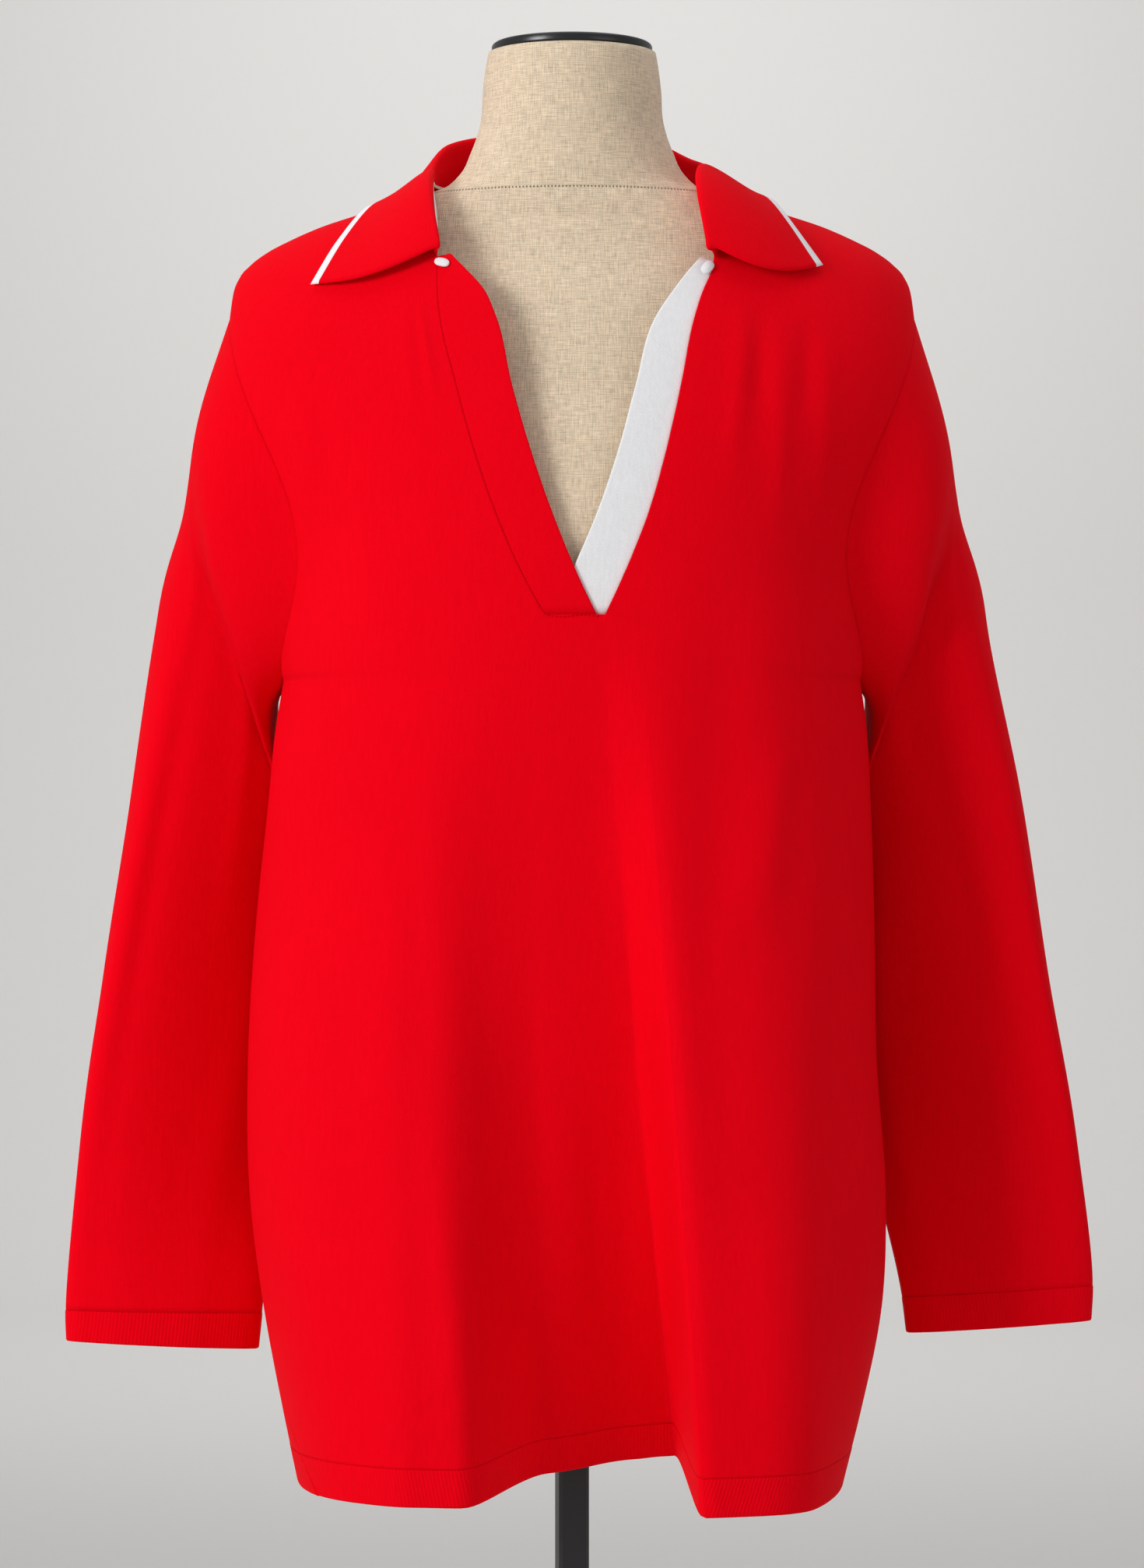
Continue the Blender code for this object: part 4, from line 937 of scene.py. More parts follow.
def join_sleeve(side, front, back, sleeve):
    """Opens the armhole's seam. Its points run up the front from the underarm to
    the shoulder and down the back, as the sleeve's first row does."""
    column = 0 if side == "left" else -1
    up = BODY_ROWS + np.arange(len(FRONT_LEVELS))[::-1]
    down = BODY_ROWS + np.arange(len(BACK_LEVELS))
    grid, normals = sleeve
    outer, underarm = 0, len(up) - 1
    lean = normals[0].copy()
    lean[:len(up)] += front[1][up, column]
    lean[len(up):] += back[1][down[1:-1], column]
    lean[outer] *= (1, 0, 1)
    lean[underarm] = np.array(UNDERARM_LEAN) * (-1 if side == "left" else 1, 1, 1)
    lean = unit(lean)
    run = np.roll(grid[0], -1, axis=0) - np.roll(grid[0], 1, axis=0)
    away = unit(np.cross(lean, run))
    away *= np.sign(np.sum(away * (grid[1] - grid[0]), axis=1, keepdims=True)) * SEAM_GAP / 2
    grid[0] += away
    normals[0] = lean
    behind = np.concatenate([[underarm], np.arange(len(up), len(lean)), [outer]])
    for (body, body_normals), rows, places in (
        (front, up, np.arange(len(up))),
        (back, down, behind),
    ):
        body[rows, column] -= away[places]
        body_normals[rows, column] = lean[places]


GRIDS = {}


def body_grids():
    """The middle surfaces and outward directions of the front, the back, the hem bands,
    the sleeves and the cuffs, opened at their seams and creased. Made once."""
    if GRIDS:
        return GRIDS
    front, cloth = front_grid()
    for name, grid, shape, sign in (
        ("front", front, cloth, 1),
        ("back", back_grid(), None, -1),
        ("hem_front", band_grid(front_ring), None, 1),
        ("hem_back", band_grid(back_ring), None, -1),
    ):
        GRIDS[name] = (grid, sign * grid_normals(grid, cells(grid.shape, shape)))
    for side, sign in (("left", -1), ("right", 1)):
        for name, cuff in (("sleeve_", False), ("cuff_", True)):
            grid = sleeve_grid(side, cuff)
            GRIDS[name + side] = (grid, sign * grid_normals(grid, cells(grid.shape, None, True)))
    for name, (grid, normals) in GRIDS.items():
        kind, _, side = name.partition("_")
        if kind in ("sleeve", "cuff"):
            relief = sleeve_relief(side, sleeve_stations(kind == "cuff"), sleeve_angles(side))
        else:
            face = "back" if "back" in name else "front"
            relief = body_relief(grid, normals, face)
        grid += normals * relief[..., None]
    GRIDS["cloth"] = cloth
    join_sides(GRIDS["front"], GRIDS["back"])
    join_sides(GRIDS["hem_front"], GRIDS["hem_back"])
    join_rows(GRIDS["front"], GRIDS["hem_front"])
    join_rows(GRIDS["back"], GRIDS["hem_back"])
    for name, step in (("front", -1), ("back", 1)):
        grid, normals = GRIDS[name]
        grid[-1, :, 1] += step * SEAM_GAP / 2
        normals[-1] = unit(normals[-1] * (1, 0, 1))
    for side in SLEEVES:
        sleeve, cuff = GRIDS["sleeve_" + side], GRIDS["cuff_" + side]
        join_sleeve(side, GRIDS["front"], GRIDS["back"], sleeve)
        join_rows((sleeve[0][::-1], sleeve[1][::-1]), (cuff[0][::-1], cuff[1][::-1]))
    return GRIDS


# ---------------------------------------------------------------- finishes

class Channel:
    """A number that varies over a surface. Arithmetic on it adds Math nodes."""

    def __init__(self, finish, socket):
        self.finish = finish
        self.socket = socket

    def __add__(self, other):
        return self.finish.math("ADD", self, other)

    __radd__ = __add__

    def __sub__(self, other):
        return self.finish.math("SUBTRACT", self, other)

    def __rsub__(self, other):
        return self.finish.math("SUBTRACT", other, self)

    def __mul__(self, other):
        return self.finish.math("MULTIPLY", self, other)

    __rmul__ = __mul__

    def __truediv__(self, other):
        return self.finish.math("DIVIDE", self, other)

    def __abs__(self):
        return self.finish.math("ABSOLUTE", self)

    def sine(self):
        return self.finish.math("SINE", self)

    def fraction(self):
        return self.finish.math("FRACT", self)

    def step(self, low, high):
        """0 under low, 1 over high, and smooth between."""
        made = self.finish.node("ShaderNodeMapRange", {"interpolation_type": "SMOOTHSTEP"},
                                {"Value": self, "From Min": low, "From Max": high})
        return Channel(self.finish, made.outputs["Result"])


class Finish:
    """A material on one Principled shader, with plain numbers set on its sockets."""

    def __init__(self, name, colour, roughness, **numbers):
        self.material = bpy.data.materials.new(name)
        self.material.use_nodes = True
        self.tree = self.material.node_tree
        self.shader = self.tree.nodes["Principled BSDF"]
        self.shader.inputs["Base Color"].default_value = (*colour, 1)
        self.shader.inputs["Roughness"].default_value = roughness
        for socket, value in numbers.items():
            self.shader.inputs[socket.replace("_", " ")].default_value = value

    def put(self, socket, value):
        """Gives a socket a value, or links a channel or another socket to it."""
        if isinstance(value, Channel):
            value = value.socket
        if isinstance(value, bpy.types.NodeSocket):
            self.tree.links.new(value, socket)
        else:
            socket.default_value = value

    def node(self, kind, settings, values):
        """Adds a node: its settings first, then the values or links of its sockets."""
        made = self.tree.nodes.new(kind)
        for name, value in settings.items():
            setattr(made, name, value)
        for name, value in values.items():
            self.put(made.inputs[name], value)
        return made

    def math(self, operation, *values):
        """A channel from one Math node."""
        made = self.node("ShaderNodeMath", {"operation": operation}, dict(enumerate(values)))
        return Channel(self, made.outputs[0])

    def limited(self, channel):
        """A channel held between 0 and 1."""
        return self.math("MINIMUM", self.math("MAXIMUM", channel, 0.0), 1.0)

    def cut(self):
        """The two channels of the flat cut, in metres: across and up."""
        place = self.node("ShaderNodeUVMap", {"uv_map": "cut"}, {}).outputs["UV"]
        return self.split(place)[:2]

    def split(self, vector):
        """The three channels of a vector."""
        parts = self.node("ShaderNodeSeparateXYZ", {}, {"Vector": vector})
        return [Channel(self, parts.outputs[k]) for k in range(3)]

    def vector(self, x, y, z=0.0):
        """A vector from channels or numbers."""
        return self.node("ShaderNodeCombineXYZ", {}, {"X": x, "Y": y, "Z": z}).outputs[0]

    def place(self):
        """Where a point lies on the object, in metres."""
        return self.node("ShaderNodeTexCoord", {}, {}).outputs["Object"]

    def noise(self, at, scale, detail=2.0, roughness=0.5):
        """A channel of noise round 0.5 at the places `at`."""
        made = self.node("ShaderNodeTexNoise", {},
                         {"Vector": at, "Scale": scale, "Detail": detail, "Roughness": roughness})
        return Channel(self, made.outputs["Fac"])

    def blend(self, first, second, share):
        """A colour between two, each a triple or a socket."""
        made = self.node("ShaderNodeMix", {"data_type": "RGBA"}, {})
        self.put(made.inputs["Factor"], share)
        for name, colour in (("A", first), ("B", second)):
            socket = [s for s in made.inputs if s.name == name and s.type == "RGBA"][0]
            self.put(socket, colour if isinstance(colour, bpy.types.NodeSocket) else (*colour, 1))
        return [s for s in made.outputs if s.type == "RGBA"][0]

    def coloured(self, colour):
        self.put(self.shader.inputs["Base Color"], colour)

    def rough(self, value):
        self.put(self.shader.inputs["Roughness"], value)

    def raised(self, height):
        """Bumps the surface by a height in millimetres."""
        bump = self.node("ShaderNodeBump", {},
                         {"Height": height, "Distance": 0.001, "Strength": 1.0})
        self.put(self.shader.inputs["Normal"], bump.outputs["Normal"])


def shade(colour, by):
    """A colour made lighter or darker by a factor, with no channel over 1."""
    return tuple(min(c * by, 1.0) for c in colour)


def knit_height(finish, across, up, wale, course):
    """Plain knit in height from 0 to 1: each wale has two legs that lean towards each
    other, and each course lifts and dips along them."""
    side = abs((across / wale).fraction() - 0.5) * 2
    leg = abs((side * np.pi).sine())
    lean = (up / course + side * 0.9) * (2 * np.pi)
    return leg * 0.55 + (lean.sine() * 0.5 + 0.5) * 0.45


def knit_finish(name, colour, wale, course, depth, stripe=None, rib=None):
    """Fine matte knit: a nap of soft noise, streaks along the wales, and the stitches as
    a bump. The stitches' height also tints the colour, a painted highlight on the raised
    legs and painted shade in the hollows. A stripe is (colour, width) along the edge where
    the cut's height is 0. A rib is the spacing of its raised wales."""
    tint = (*(c / max(colour) for c in colour), 1)
    finish = Finish(name, colour, 0.85, Sheen_Weight=0.06, Sheen_Roughness=0.5, Sheen_Tint=tint,
                    Specular_IOR_Level=0.10, Specular_Tint=tint)
    across, up = finish.cut()
    place = finish.place()
    stretched = finish.node("ShaderNodeMapping", {}, {"Vector": place, "Scale": (1, 1, 0.12)})
    streak = finish.noise(stretched.outputs[0], 620, 2, 0.6)
    cloud = finish.noise(place, 14, 3, 0.5)
    fuzz = finish.noise(place, 2600, 2, 0.7)
    stitch = knit_height(finish, across, up, wale, course)
    # Painted light: the stitch height lightens the colour on the raised legs and darkens it in the
    # hollows, as painted highlight and painted shade. The streaks, cloud and fuzz are random tone
    # of the yarn, and the stripe takes the same mix.
    tone = (stitch - 0.5) * 0.30 + (streak - 0.5) * 0.42
    tone = tone + (cloud - 0.5) * 0.20 + (fuzz - 0.5) * 0.35
    share = finish.limited(tone + 0.5)
    mottle_and_stitch_shade = finish.blend(shade(colour, 0.74), shade(colour, 1.18), share)
    height = stitch * depth + (fuzz - 0.5) * (depth * 0.6) + (streak - 0.5) * (depth * 0.4)
    if rib:
        ribs = ((across * (2 * np.pi / rib)).sine() * 0.5 + 0.5)
        height = height + ribs * (depth * 1.8)
    if stripe:
        band_colour, width = stripe
        inside = 1 - up.step(width - 0.0003, width + 0.0003)
        band = finish.blend(shade(band_colour, 0.93), band_colour, share)
        mottle_and_stitch_shade = finish.blend(mottle_and_stitch_shade, band, inside)
    finish.coloured(mottle_and_stitch_shade)
    finish.raised(height)
    return finish.material


THREAD_PITCH = 0.00078
NEEDLE_PITCH = 0.0021


def linen_finish(name, colour):
    """Natural plain-weave linen: threads over and under as a bump, each with its own
    thickness and tone, slubs along them, and the needle holes of the neck's seam. The
    weave's height also tints the colour, a painted highlight on the threads' crowns and
    painted shade between them, and the needle holes are painted dark as painted shadow."""
    finish = Finish(name, colour, 0.88, Sheen_Weight=0.12, Sheen_Roughness=0.5,
                    Specular_IOR_Level=0.2)
    across, up = finish.cut()
    warp_noise = finish.noise(finish.vector(across * 90, up * 5), 8, 2, 0.6)
    weft_noise = finish.noise(finish.vector(across * 5, up * 90), 8, 2, 0.6)
    a = across / THREAD_PITCH + (warp_noise - 0.5) * 0.9
    b = up / THREAD_PITCH + (weft_noise - 0.5) * 0.9
    warp = abs((a * np.pi).sine())
    weft = abs((b * np.pi).sine())
    over = ((a * np.pi + b * np.pi).sine() * (a * np.pi - b * np.pi).sine()) * 0.5 + 0.5
    weave = warp * over + weft * (1 - over)
    slub = finish.noise(finish.vector(across * 110, up * 1250), 1, 2, 0.7)
    slub_up = finish.noise(finish.vector(across * 1250, up * 110), 1, 2, 0.7)
    cloud = finish.noise(finish.place(), 16, 3, 0.5)
    # Painted light: the weave's height lightens the colour on the threads' crowns and darkens it
    # between them, as painted highlight and painted shade. The slubs and cloud are random tone of
    # the linen.
    tone = (weave - 0.5) * 0.6 + (slub - 0.5) * 1.05
    tone = tone + (slub_up - 0.5) * 1.05 + (cloud - 0.5) * 0.3
    share = finish.limited(tone + 0.5)
    cloth = finish.blend(shade(colour, 0.52), shade(colour, 1.55), share)
    seam = abs(up - NECK_SEAM_Z)
    # Painted shadow: the needle holes are painted dark, standing in for the shade inside each
    # hole.
    hole = (across / NEEDLE_PITCH).fraction() - 0.5
    hole = (1 - abs(hole).step(0.12, 0.26)) * (1 - seam.step(0.0003, 0.0007))
    cloth = finish.blend(cloth, shade(colour, 0.18), hole * 0.85)
    groove = 1 - seam.step(0.0, 0.0012)
    finish.coloured(cloth)
    finish.raised(weave * 0.16 + (slub + slub_up) * 0.08 - groove * 0.30 - hole * 0.25)
    return finish.material


def paint_finish(name, colour, roughness):
    """Satin paint with faint handling marks in its gloss."""
    finish = Finish(name, colour, roughness)
    place = finish.place()
    smear = finish.noise(place, 38, 4, 0.6)
    grain = finish.noise(place, 900, 2, 0.5)
    finish.rough(roughness + (smear - 0.5) * 0.22)
    finish.coloured(finish.blend(shade(colour, 0.7), shade(colour, 1.6), smear))
    finish.raised(grain * 0.012)
    return finish.material


def stage_finish(name, colour):
    """Matte paper with a faint tooth."""
    finish = Finish(name, colour, 0.95, Specular_IOR_Level=0.1)
    tooth = finish.noise(finish.place(), 60, 3, 0.5)
    finish.coloured(finish.blend(shade(colour, 0.99), shade(colour, 1.01), tooth))
    return finish.material


def finished(slot):
    """The material of one of the part's slots, made once."""
    made = bpy.data.materials.get("finish_" + slot)
    if made:
        return made
    look = bpy.context.scene.sweater
    red, white = tuple(look.red), tuple(look.white)
    wale, course = look.wale, look.course
    makers = {
        "red_knit": lambda name: knit_finish(name, red, wale, course, 0.10),
        "red_rib": lambda name: knit_finish(name, red, wale, course, 0.10, rib=2 * wale),
        "collar_knit": lambda name: knit_finish(name, red, wale * 1.3, course, 0.12,
                                                stripe=(white, look.stripe)),
        "white_knit": lambda name: knit_finish(name, white, wale, course, 0.10),
        "red_thread": lambda name: knit_finish(name, shade(red, 0.8), wale, course, 0.05),
        "linen_cover": lambda name: linen_finish(name, tuple(look.linen)),
        "dark_cap": lambda name: paint_finish(name, (0.010, 0.010, 0.011), 0.30),
        "black_paint": lambda name: paint_finish(name, (0.012, 0.012, 0.013), 0.42),
    }
    return makers[slot]("finish_" + slot)


# ---------------------------------------------------------------- tape, thread and form

def tape_end(x, z, width, height, tilt, lift, thick):
    """A soft tab of the tape that shows at the front: its middle on the body, its size,
    its tilt in degrees and how far it lies off the cloth."""
    u, v = np.meshgrid(np.linspace(-1, 1, 25), np.linspace(-1, 1, 17))
    full = np.sqrt(np.maximum(1 - np.abs(u) ** 3, 0.02))
    a, b = u * width / 2, v * full * height / 2
    turn = np.radians(tilt)
    xs = x + a * np.cos(turn) - b * np.sin(turn)
    zs = z + a * np.sin(turn) + b * np.cos(turn)
    levels = (zs - UNDERARM_Z) / (shoulder_z(xs, "front") - UNDERARM_Z)
    grid = upper(xs, levels, "front")
    soft = 0.0012 * (1 - u**2) * (1 - v**2)
    grid += grid_normals(grid, cells(grid.shape)) * (lift + soft)[..., None]
    return wall("tape_end", grid, thick * 1.3, finished("white_knit"),
                free=("low", "high", "first", "last"))


def joined(first, *others):
    """The first object with the meshes of the others added to it."""
    picked = [first, *others]
    with bpy.context.temp_override(active_object=first, selected_editable_objects=picked):
        bpy.ops.object.join()
    return first


def stitches(name, places, radius, finish):
    """A run of thread: one slim bead between each place and the next."""
    turn = np.linspace(0, 2 * np.pi, 10, endpoint=False)
    beads = []
    for start, end in zip(places[:-1], places[1:]):
        run = end - start
        side = unit(np.cross(run, (0, 1, 0)))
        out = unit(np.cross(side, run))
        rows = []
        for t in np.linspace(-0.98, 0.98, 9):
            round_run = np.cos(turn)[:, None] * side + np.sin(turn)[:, None] * out
            circle = radius * np.sqrt(1 - t * t) * round_run
            rows.append((start + end) / 2 + run * 0.40 * t + circle)
        beads.append(closed_tube(name, np.array(rows), finish))
    return joined(beads[0], *beads[1:])


def form_rings():
    """Rings of the form at close heights: superellipses through its table's sizes."""
    heights = np.unique(np.concatenate([
        FORM["z"], np.linspace(0.9, 0.93, 12), np.linspace(0.93, 1.493, 180)]))
    size = {name: through(FORM["z"], FORM[name], heights)[:, None] for name in FORM}
    turn = np.linspace(0, 2 * np.pi, FORM_SIDES, endpoint=False)
    cos, sin = np.cos(turn), np.sin(turn)
    inset = 0.0004
    x = (size["half"] - inset) * np.sign(cos) * np.abs(cos) ** (2 / size["power"])
    depth = np.where(sin > 0, size["back"], size["front"]) - inset
    y = depth * np.sign(sin) * np.abs(sin) ** (2 / size["power"])
    return np.stack([x, y, np.broadcast_to(heights[:, None], x.shape)], axis=-1)


# ---------------------------------------------------------------- what the user can change

def length(name, description, default, low, high, precision=4):
    """A length, in metres."""
    return bpy.props.FloatProperty(name=name, description=description, default=default,
                                   min=low, max=high, unit="LENGTH", precision=precision)


def colour(name, description, default):
    """A colour."""
    return bpy.props.FloatVectorProperty(name=name, description=description, default=default,
                                         min=0, max=1, subtype="COLOR")


def power(name, description, default):
    """The power of a light, in watts."""
    return bpy.props.FloatProperty(name=name, description=description, default=default,
                                   min=0, unit="POWER")


class SweaterSettings(bpy.types.PropertyGroup):
    """Sizes and colours of the sweater and the form."""

    knit: length("Knit thickness", "Thickness of the body's and sleeves' cloth",
                 0.0018, 0.001, 0.003)
    rib_knit: length("Rib thickness", "Thickness of the hem and cuff bands",
                     0.0022, 0.001, 0.003)
    collar_knit: length("Collar thickness", "Thickness of the collar's cloth",
                        0.0020, 0.001, 0.003)
    tape: length("Neck tape thickness", "Thickness of the tape on the neck seam",
                 0.0010, 0.0005, 0.002)
    stripe: length("Collar stripe", "Width of the stripe knitted into the collar's edge",
                   0.0056, 0.001, 0.02)
    wale: length("Wale", "Width of one column of stitches", 0.00105, 0.0005, 0.01, 5)
    course: length("Course", "Height of one row of stitches", 0.00085, 0.0005, 0.01, 5)
    crease_strength: bpy.props.FloatProperty(
        name="Creases", description="How strongly the cloth is creased",
        default=1.0, min=0.0, max=1.5, subtype="FACTOR")
    red: colour("Red", "Colour of the body, sleeves, bands and collar", (0.93, 0.0009, 0.0085))
    white: colour("White", "Colour of the under placket, the stripe and the tape",
                  (0.92, 0.92, 0.95))
    linen: colour("Linen", "Colour of the form's cover", (0.62, 0.50, 0.36))


class StudioSettings(bpy.types.PropertyGroup):
    """The lights and the backdrop."""

    key: power("Key light", "Power of the large light at the front left", 82.0)
    fill: power("Fill light", "Power of the soft light at the front right", 12.0)
    backdrop: power("Backdrop light", "Power of the light on the backdrop", 58.0)
    floor: colour("Floor", "Colour of the floor and the backdrop", (0.76, 0.745, 0.725))


# ---------------------------------------------------------------- operators

def finish_piece(piece, slot, *nodes):
    """Binds a piece to the root body and hides the parts of the nodes that it stands for. The slot
    is not used.
    """
    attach(piece, "root")
    if nodes:
        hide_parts(*nodes)
    return piece


def body_wall(name, slot, thick, **kind):
    """One wall of the body's cloth, with its grid turned so that it faces outwards."""
    grid, normals = body_grids()[name]
    turned = name in ("back", "hem_back", "sleeve_left", "cuff_left")
    flip = slice(None, None, -1 if turned else 1)
    piece = wall(name + "_knit", grid[:, flip], thick, finished(slot),
                 normals=normals[:, flip], **kind)
    return finish_piece(piece, slot, name)


class SWEATER_OT_front(bpy.types.Operator):
    """Knit the front panel with its open slot"""
    bl_idname = "sweater.front"
    bl_label = "Front"

    def execute(self, context):
        look = context.scene.sweater
        piece = body_wall("front", "red_knit", look.knit, cloth=body_grids()["cloth"])
        return {"FINISHED"}


class SWEATER_OT_back(bpy.types.Operator):
    """Knit the back panel"""
    bl_idname = "sweater.back"
    bl_label = "Back"

    def execute(self, context):
        piece = body_wall("back", "red_knit", context.scene.sweater.knit)
        return {"FINISHED"}


class SWEATER_OT_sleeves(bpy.types.Operator):
    """Knit both sleeves"""
    bl_idname = "sweater.sleeves"
    bl_label = "Sleeves"

    def execute(self, context):
        for side in SLEEVES:
            piece = body_wall("sleeve_" + side, "red_knit", context.scene.sweater.knit, loop=True)
        return {"FINISHED"}


class SWEATER_OT_bands(bpy.types.Operator):
    """Knit the hem bands and the cuff bands in fine rib"""
    bl_idname = "sweater.bands"
    bl_label = "Hem and cuff bands"

    def execute(self, context):
        thick = context.scene.sweater.rib_knit
        for face in ("front", "back"):
            piece = body_wall("hem_" + face, "red_rib", thick, free=("low",))
        for side in SLEEVES:
            piece = body_wall("cuff_" + side, "red_rib", thick, free=("high",), loop=True)
        return {"FINISHED"}


class SWEATER_OT_plackets(bpy.types.Operator):
    """Knit the red top placket and the white under placket"""
    bl_idname = "sweater.plackets"
    bl_label = "Plackets"

    def execute(self, context):
        look = context.scene.sweater
        levels = FRONT_LEVELS[SLOT_ROWS:COLLAR_ROW + 1, None]
        spread = (1 - np.cos(np.linspace(0, np.pi, PLACKET_COLUMNS + 1))) / 2
        start = opening_x("seam_left", levels) + 1.5 * SEAM_GAP
        end = opening_x("free_left", levels)
        top = upper(start + (end - start) * spread, levels, "front")
        start, end = opening_x("free_right", levels), opening_x("seam_right", levels)
        under = upper(start + (end - start) * spread, levels, "front")
        lean = grid_normals(under, cells(under.shape))
        under -= lean * (look.knit + 1.5 * SEAM_GAP)
        for name, grid, slot, free in (
            ("placket_top", top, "red_knit", "last"),
            ("placket_under", under, "white_knit", "first"),
        ):
            normals = grid_normals(grid, cells(grid.shape))
            grid += normals * body_relief(grid, normals, "front")[..., None]
            grid[0, :, 2] += 1.5 * SEAM_GAP
            piece = wall(name + "_knit", grid, look.knit, finished(slot), free=(free,))
            finish_piece(piece, slot, name)
        x = np.linspace(*STITCH_RUN, 14)
        z = STITCH_Z + 0.0006 * np.sin(x * 260)
        levels = (z - UNDERARM_Z) / (shoulder_z(x, "front") - UNDERARM_Z)
        places = upper(x, levels, "front") - (0, look.knit / 2 + 0.0001, 0)
        thread = stitches("placket_thread", places, THREAD_RADIUS, finished("red_thread"))
        finish_piece(thread, "red_knit")
        return {"FINISHED"}


class SWEATER_OT_collar(bpy.types.Operator):
    """Knit the collar with its stripe, and the tape inside the neck"""
    bl_idname = "sweater.collar"
    bl_label = "Collar"

    def execute(self, context):
        look = context.scene.sweater
        t = np.linspace(0, 1, COLLAR_COLUMNS + 1)
        at = 0.85 * t + 0.15 * (1 - np.cos(np.pi * t)) / 2
        t = np.linspace(0, 1, COLLAR_ROWS + 1)
        places = 4 * (1 - np.clip(1 - 0.9 * t - 0.1 * ease(t), 0, 1) ** 1.15)
        grid = collar_points(at, places[:, None] + 0 * at)
        down = runs(grid, 0)
        along = np.broadcast_to(runs(grid[12:13], 1), down.shape)
        flat = np.stack([along, down[-1:] - down], axis=-1)
        piece = wall("collar_knit", grid, look.collar_knit, finished("collar_knit"),
                     free=("first", "last", "high"), flat=flat)
        finish_piece(piece, "red_knit", "collar")

        at = np.linspace(0.012, 0.988, TAPE_COLUMNS + 1)
        half = np.minimum(at, 1 - at)
        slim = ease((half - 0.07) / 0.05)
        thick = look.tape * (1 - 0.75 * slim)
        stand = through(COLLAR["at"], COLLAR["stand"], at)
        top = np.minimum(TAPE_WIDTH * (1 - TAPE_SLIM * slim) / (COLLAR_UP * stand), 0.8)
        low = 0.14 - 0.10 * slim
        grid = collar_points(at, low + (top - low) * np.linspace(0, 1, TAPE_ROWS + 1)[:, None])
        off = (look.collar_knit + thick + 3 * SEAM_GAP)[:, None] / 2
        grid += grid_normals(grid, cells(grid.shape)) * off
        piece = wall("neck_tape_knit", grid, thick, finished("white_knit"),
                     free=("low", "high", "first", "last"))
        tabs = [tape_end(*row, look.tape) for row in TAPE_ENDS]
        joined(piece, *tabs)
        finish_piece(piece, "white_knit", "neck_tape")
        return {"FINISHED"}


class SWEATER_OT_form(bpy.types.Operator):
    """Cover the dress form in linen and cap its neck"""
    bl_idname = "sweater.form"
    bl_label = "Dress form"

    def execute(self, context):
        grid = form_rings()
        ring_length = runs(np.concatenate([grid, grid[:, :1]], axis=1), 1)[:, :-1]
        start = ring_length[:, FORM_SIDES * 3 // 4][:, None]
        flat = np.stack([ring_length - start, grid[..., 2]], axis=-1)
        piece = closed_tube("form_cover", grid, finished("linen_cover"), flat)
        finish_piece(piece, "linen_cover", "form_torso")
        low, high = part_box("form_neck_cap")
        middle = (0, (low[1] + high[1]) / 2)
        radius = (high[0] - low[0]) / 2
        bottom, top = low[2], high[2]
        profile = [(radius - 0.0008, bottom), (radius - 0.0001, bottom + 0.0006),
                   (radius, bottom + 0.0014), (radius, top - 0.0016),
                   (radius - 0.0004, top - 0.0007), (radius - 0.0012, top - 0.0001),
                   (radius - 0.0020, top - 0.0001), (radius - 0.0026, top - 0.0007),
                   (radius - 0.0030, top - 0.0012), (radius - 0.0100, top - 0.0010),
                   (0.010, top - 0.0006)]
        piece = lathe("neck_cap", profile, finished("dark_cap"), 128, middle)
        finish_piece(piece, "dark_cap", "form_neck_cap")
        return {"FINISHED"}


class SWEATER_OT_stand(bpy.types.Operator):
    """Make the round base of the stand and paint its square pole"""
    bl_idname = "sweater.stand"
    bl_label = "Stand"

    def execute(self, context):
        low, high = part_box("stand_base")
        radius, top = high[0], high[2]
        profile = [(radius - 0.0020, 0.0), (radius - 0.0006, 0.0006), (radius, 0.0020),
                   (radius, 0.0060), (radius - 0.0006, 0.0074), (radius - 0.0020, 0.0080),
                   (radius - 0.020, 0.0088), (0.090, 0.0114), (0.031, 0.0138),
                   (0.0275, 0.0142), (0.0262, 0.0150), (0.026, top - 0.001),
                   (0.0252, top - 0.0002), (0.0240, top)]
        piece = lathe("base_disc", profile, finished("black_paint"), 160)
        finish_piece(piece, "black_paint", "stand_base")
        bpy.data.objects["stand_pole"].material_slots[0].material = finished("black_paint")
        return {"FINISHED"}


# The stage: where the floor starts to rise into the backdrop, and its sizes.
SWEEP_START = 6.0
SWEEP_RADIUS = 1.6
STAGE_HALF = 7.0
STAGE_HEIGHT = 6.5
AIR_COLOUR = (0.93, 0.94, 0.96, 1)
AIR_LIGHT = 0.42

# The camera: its place, the sensor's height in millimetres, and the view's focal length
# and height in pixels.
CAMERA = (0, -2.5, 1.062)
SENSOR = 36
VIEW_LENGTH = 5435
VIEW_HEIGHT = 2014


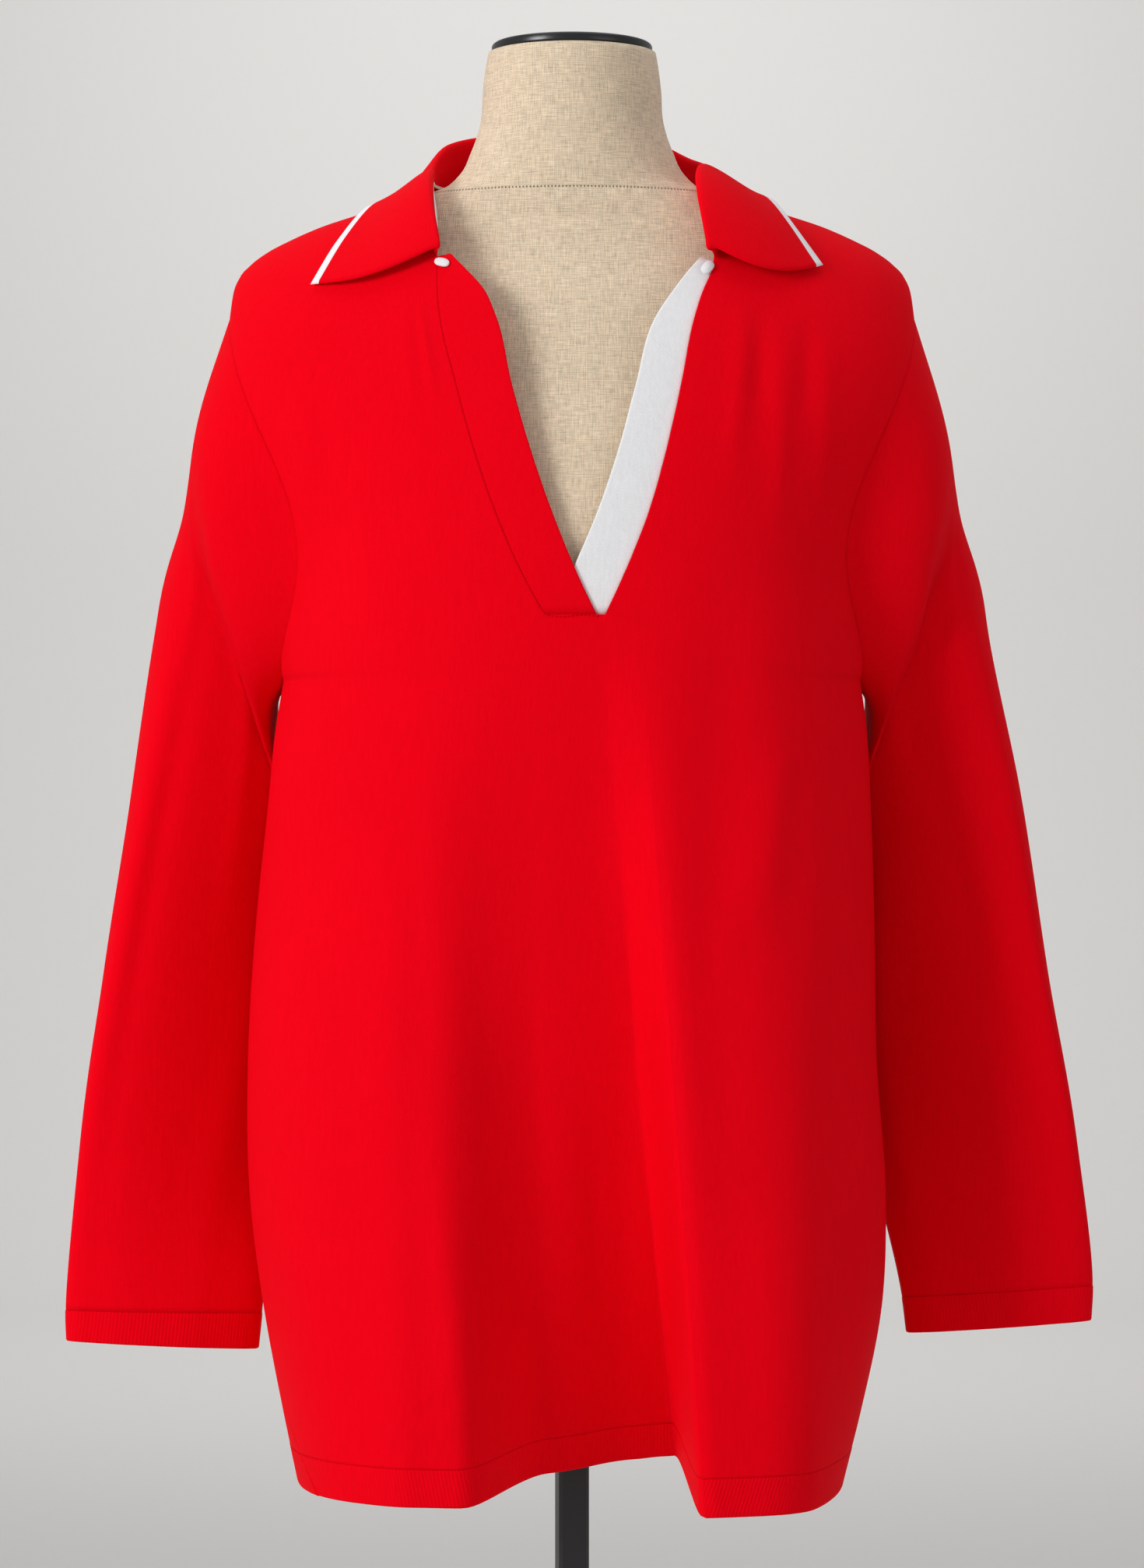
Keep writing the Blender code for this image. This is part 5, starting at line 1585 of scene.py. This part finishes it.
class SWEATER_OT_stage(bpy.types.Operator):
    """Set the floor, the backdrop, the lights and the camera"""
    bl_idname = "sweater.stage"
    bl_label = "Studio"

    def execute(self, context):
        studio = context.scene.studio
        bend = np.linspace(0, np.pi / 2, 24)
        start, radius = SWEEP_START, SWEEP_RADIUS
        profile = np.concatenate([
            [(-STAGE_HALF, 0.0), (0.0, 0.0)],
            np.stack([start + radius * np.sin(bend), radius - radius * np.cos(bend)], axis=-1),
            [(start + radius, STAGE_HEIGHT)],
        ])
        across = np.linspace(-STAGE_HALF, STAGE_HALF, 9)
        grid = np.array([[(x, y, z) for x in across] for y, z in profile])
        sweep = surface("backdrop", grid.reshape(-1, 3), cells(grid.shape),
                        stage_finish("backdrop_paper", tuple(studio.floor)))
        for name, place, aim, size, power in (
            ("key", (-2.7, -2.3, 2.1), (0, 0, 1.05), 1.3, studio.key),
            ("fill", (2.6, -2.6, 1.5), (0, 0, 1.0), 2.0, studio.fill),
            ("top", (0.0, 0.4, 3.6), (0, 0.4, 0), 2.4, studio.key * 0.3),
            ("wash", (0.0, 4.8, 3.4), (0, 7.4, 1.2), 2.6, studio.backdrop),
        ):
            lamp = bpy.data.lights.new(name, "AREA")
            lamp.shape = "SQUARE"
            lamp.size = size
            lamp.energy = power
            holder = bpy.data.objects.new(name, lamp)
            context.scene.collection.objects.link(holder)
            holder.location = place
            toward = np.array(aim, float) - np.array(place, float)
            flat_run = np.hypot(toward[0], toward[1])
            tip, turn = np.arctan2(flat_run, -toward[2]), np.arctan2(-toward[0], toward[1])
            holder.rotation_euler = (tip, 0, turn)
        world = bpy.data.worlds.new("studio_air")
        context.scene.world = world
        world.use_nodes = True
        back = world.node_tree.nodes["Background"]
        back.inputs["Color"].default_value = AIR_COLOUR
        back.inputs["Strength"].default_value = AIR_LIGHT
        context.scene.view_settings.view_transform = "Standard"

        lens = bpy.data.cameras.new("photo_camera")
        lens.sensor_fit = "VERTICAL"
        lens.sensor_height = SENSOR
        lens.lens = SENSOR * VIEW_LENGTH / VIEW_HEIGHT
        camera = bpy.data.objects.new("photo_camera", lens)
        camera.location = CAMERA
        camera.rotation_euler = (np.pi / 2, 0, 0)
        context.scene.collection.objects.link(camera)
        context.scene.camera = camera
        return {"FINISHED"}


class SWEATER_PT_panel(bpy.types.Panel):
    """Lists the steps that build the sweater"""
    bl_idname = "SWEATER_PT_panel"
    bl_label = "Sweater"
    bl_space_type = "VIEW_3D"
    bl_region_type = "UI"
    bl_category = "Sweater"

    def draw(self, context):
        for settings in (context.scene.sweater, context.scene.studio):
            for name in settings.bl_rna.properties.keys():
                if name not in ("rna_type", "name"):
                    self.layout.prop(settings, name)
        for step in STEPS:
            self.layout.operator(step.bl_idname)


STEPS = (
    SWEATER_OT_stage, SWEATER_OT_form, SWEATER_OT_stand, SWEATER_OT_front, SWEATER_OT_back,
    SWEATER_OT_sleeves, SWEATER_OT_bands, SWEATER_OT_plackets, SWEATER_OT_collar,
)
CLASSES = (SweaterSettings, StudioSettings, *STEPS, SWEATER_PT_panel)


def register():
    for kind in CLASSES:
        bpy.utils.register_class(kind)
    bpy.types.Scene.sweater = bpy.props.PointerProperty(type=SweaterSettings)
    bpy.types.Scene.studio = bpy.props.PointerProperty(type=StudioSettings)


def unregister():
    del bpy.types.Scene.sweater
    del bpy.types.Scene.studio
    for kind in reversed(CLASSES):
        bpy.utils.unregister_class(kind)


def main():
    """Builds every piece in order."""
    register()
    for step in STEPS:
        group, name = step.bl_idname.split(".")
        getattr(getattr(bpy.ops, group), name)()


if __name__ == "__main__":
    main()
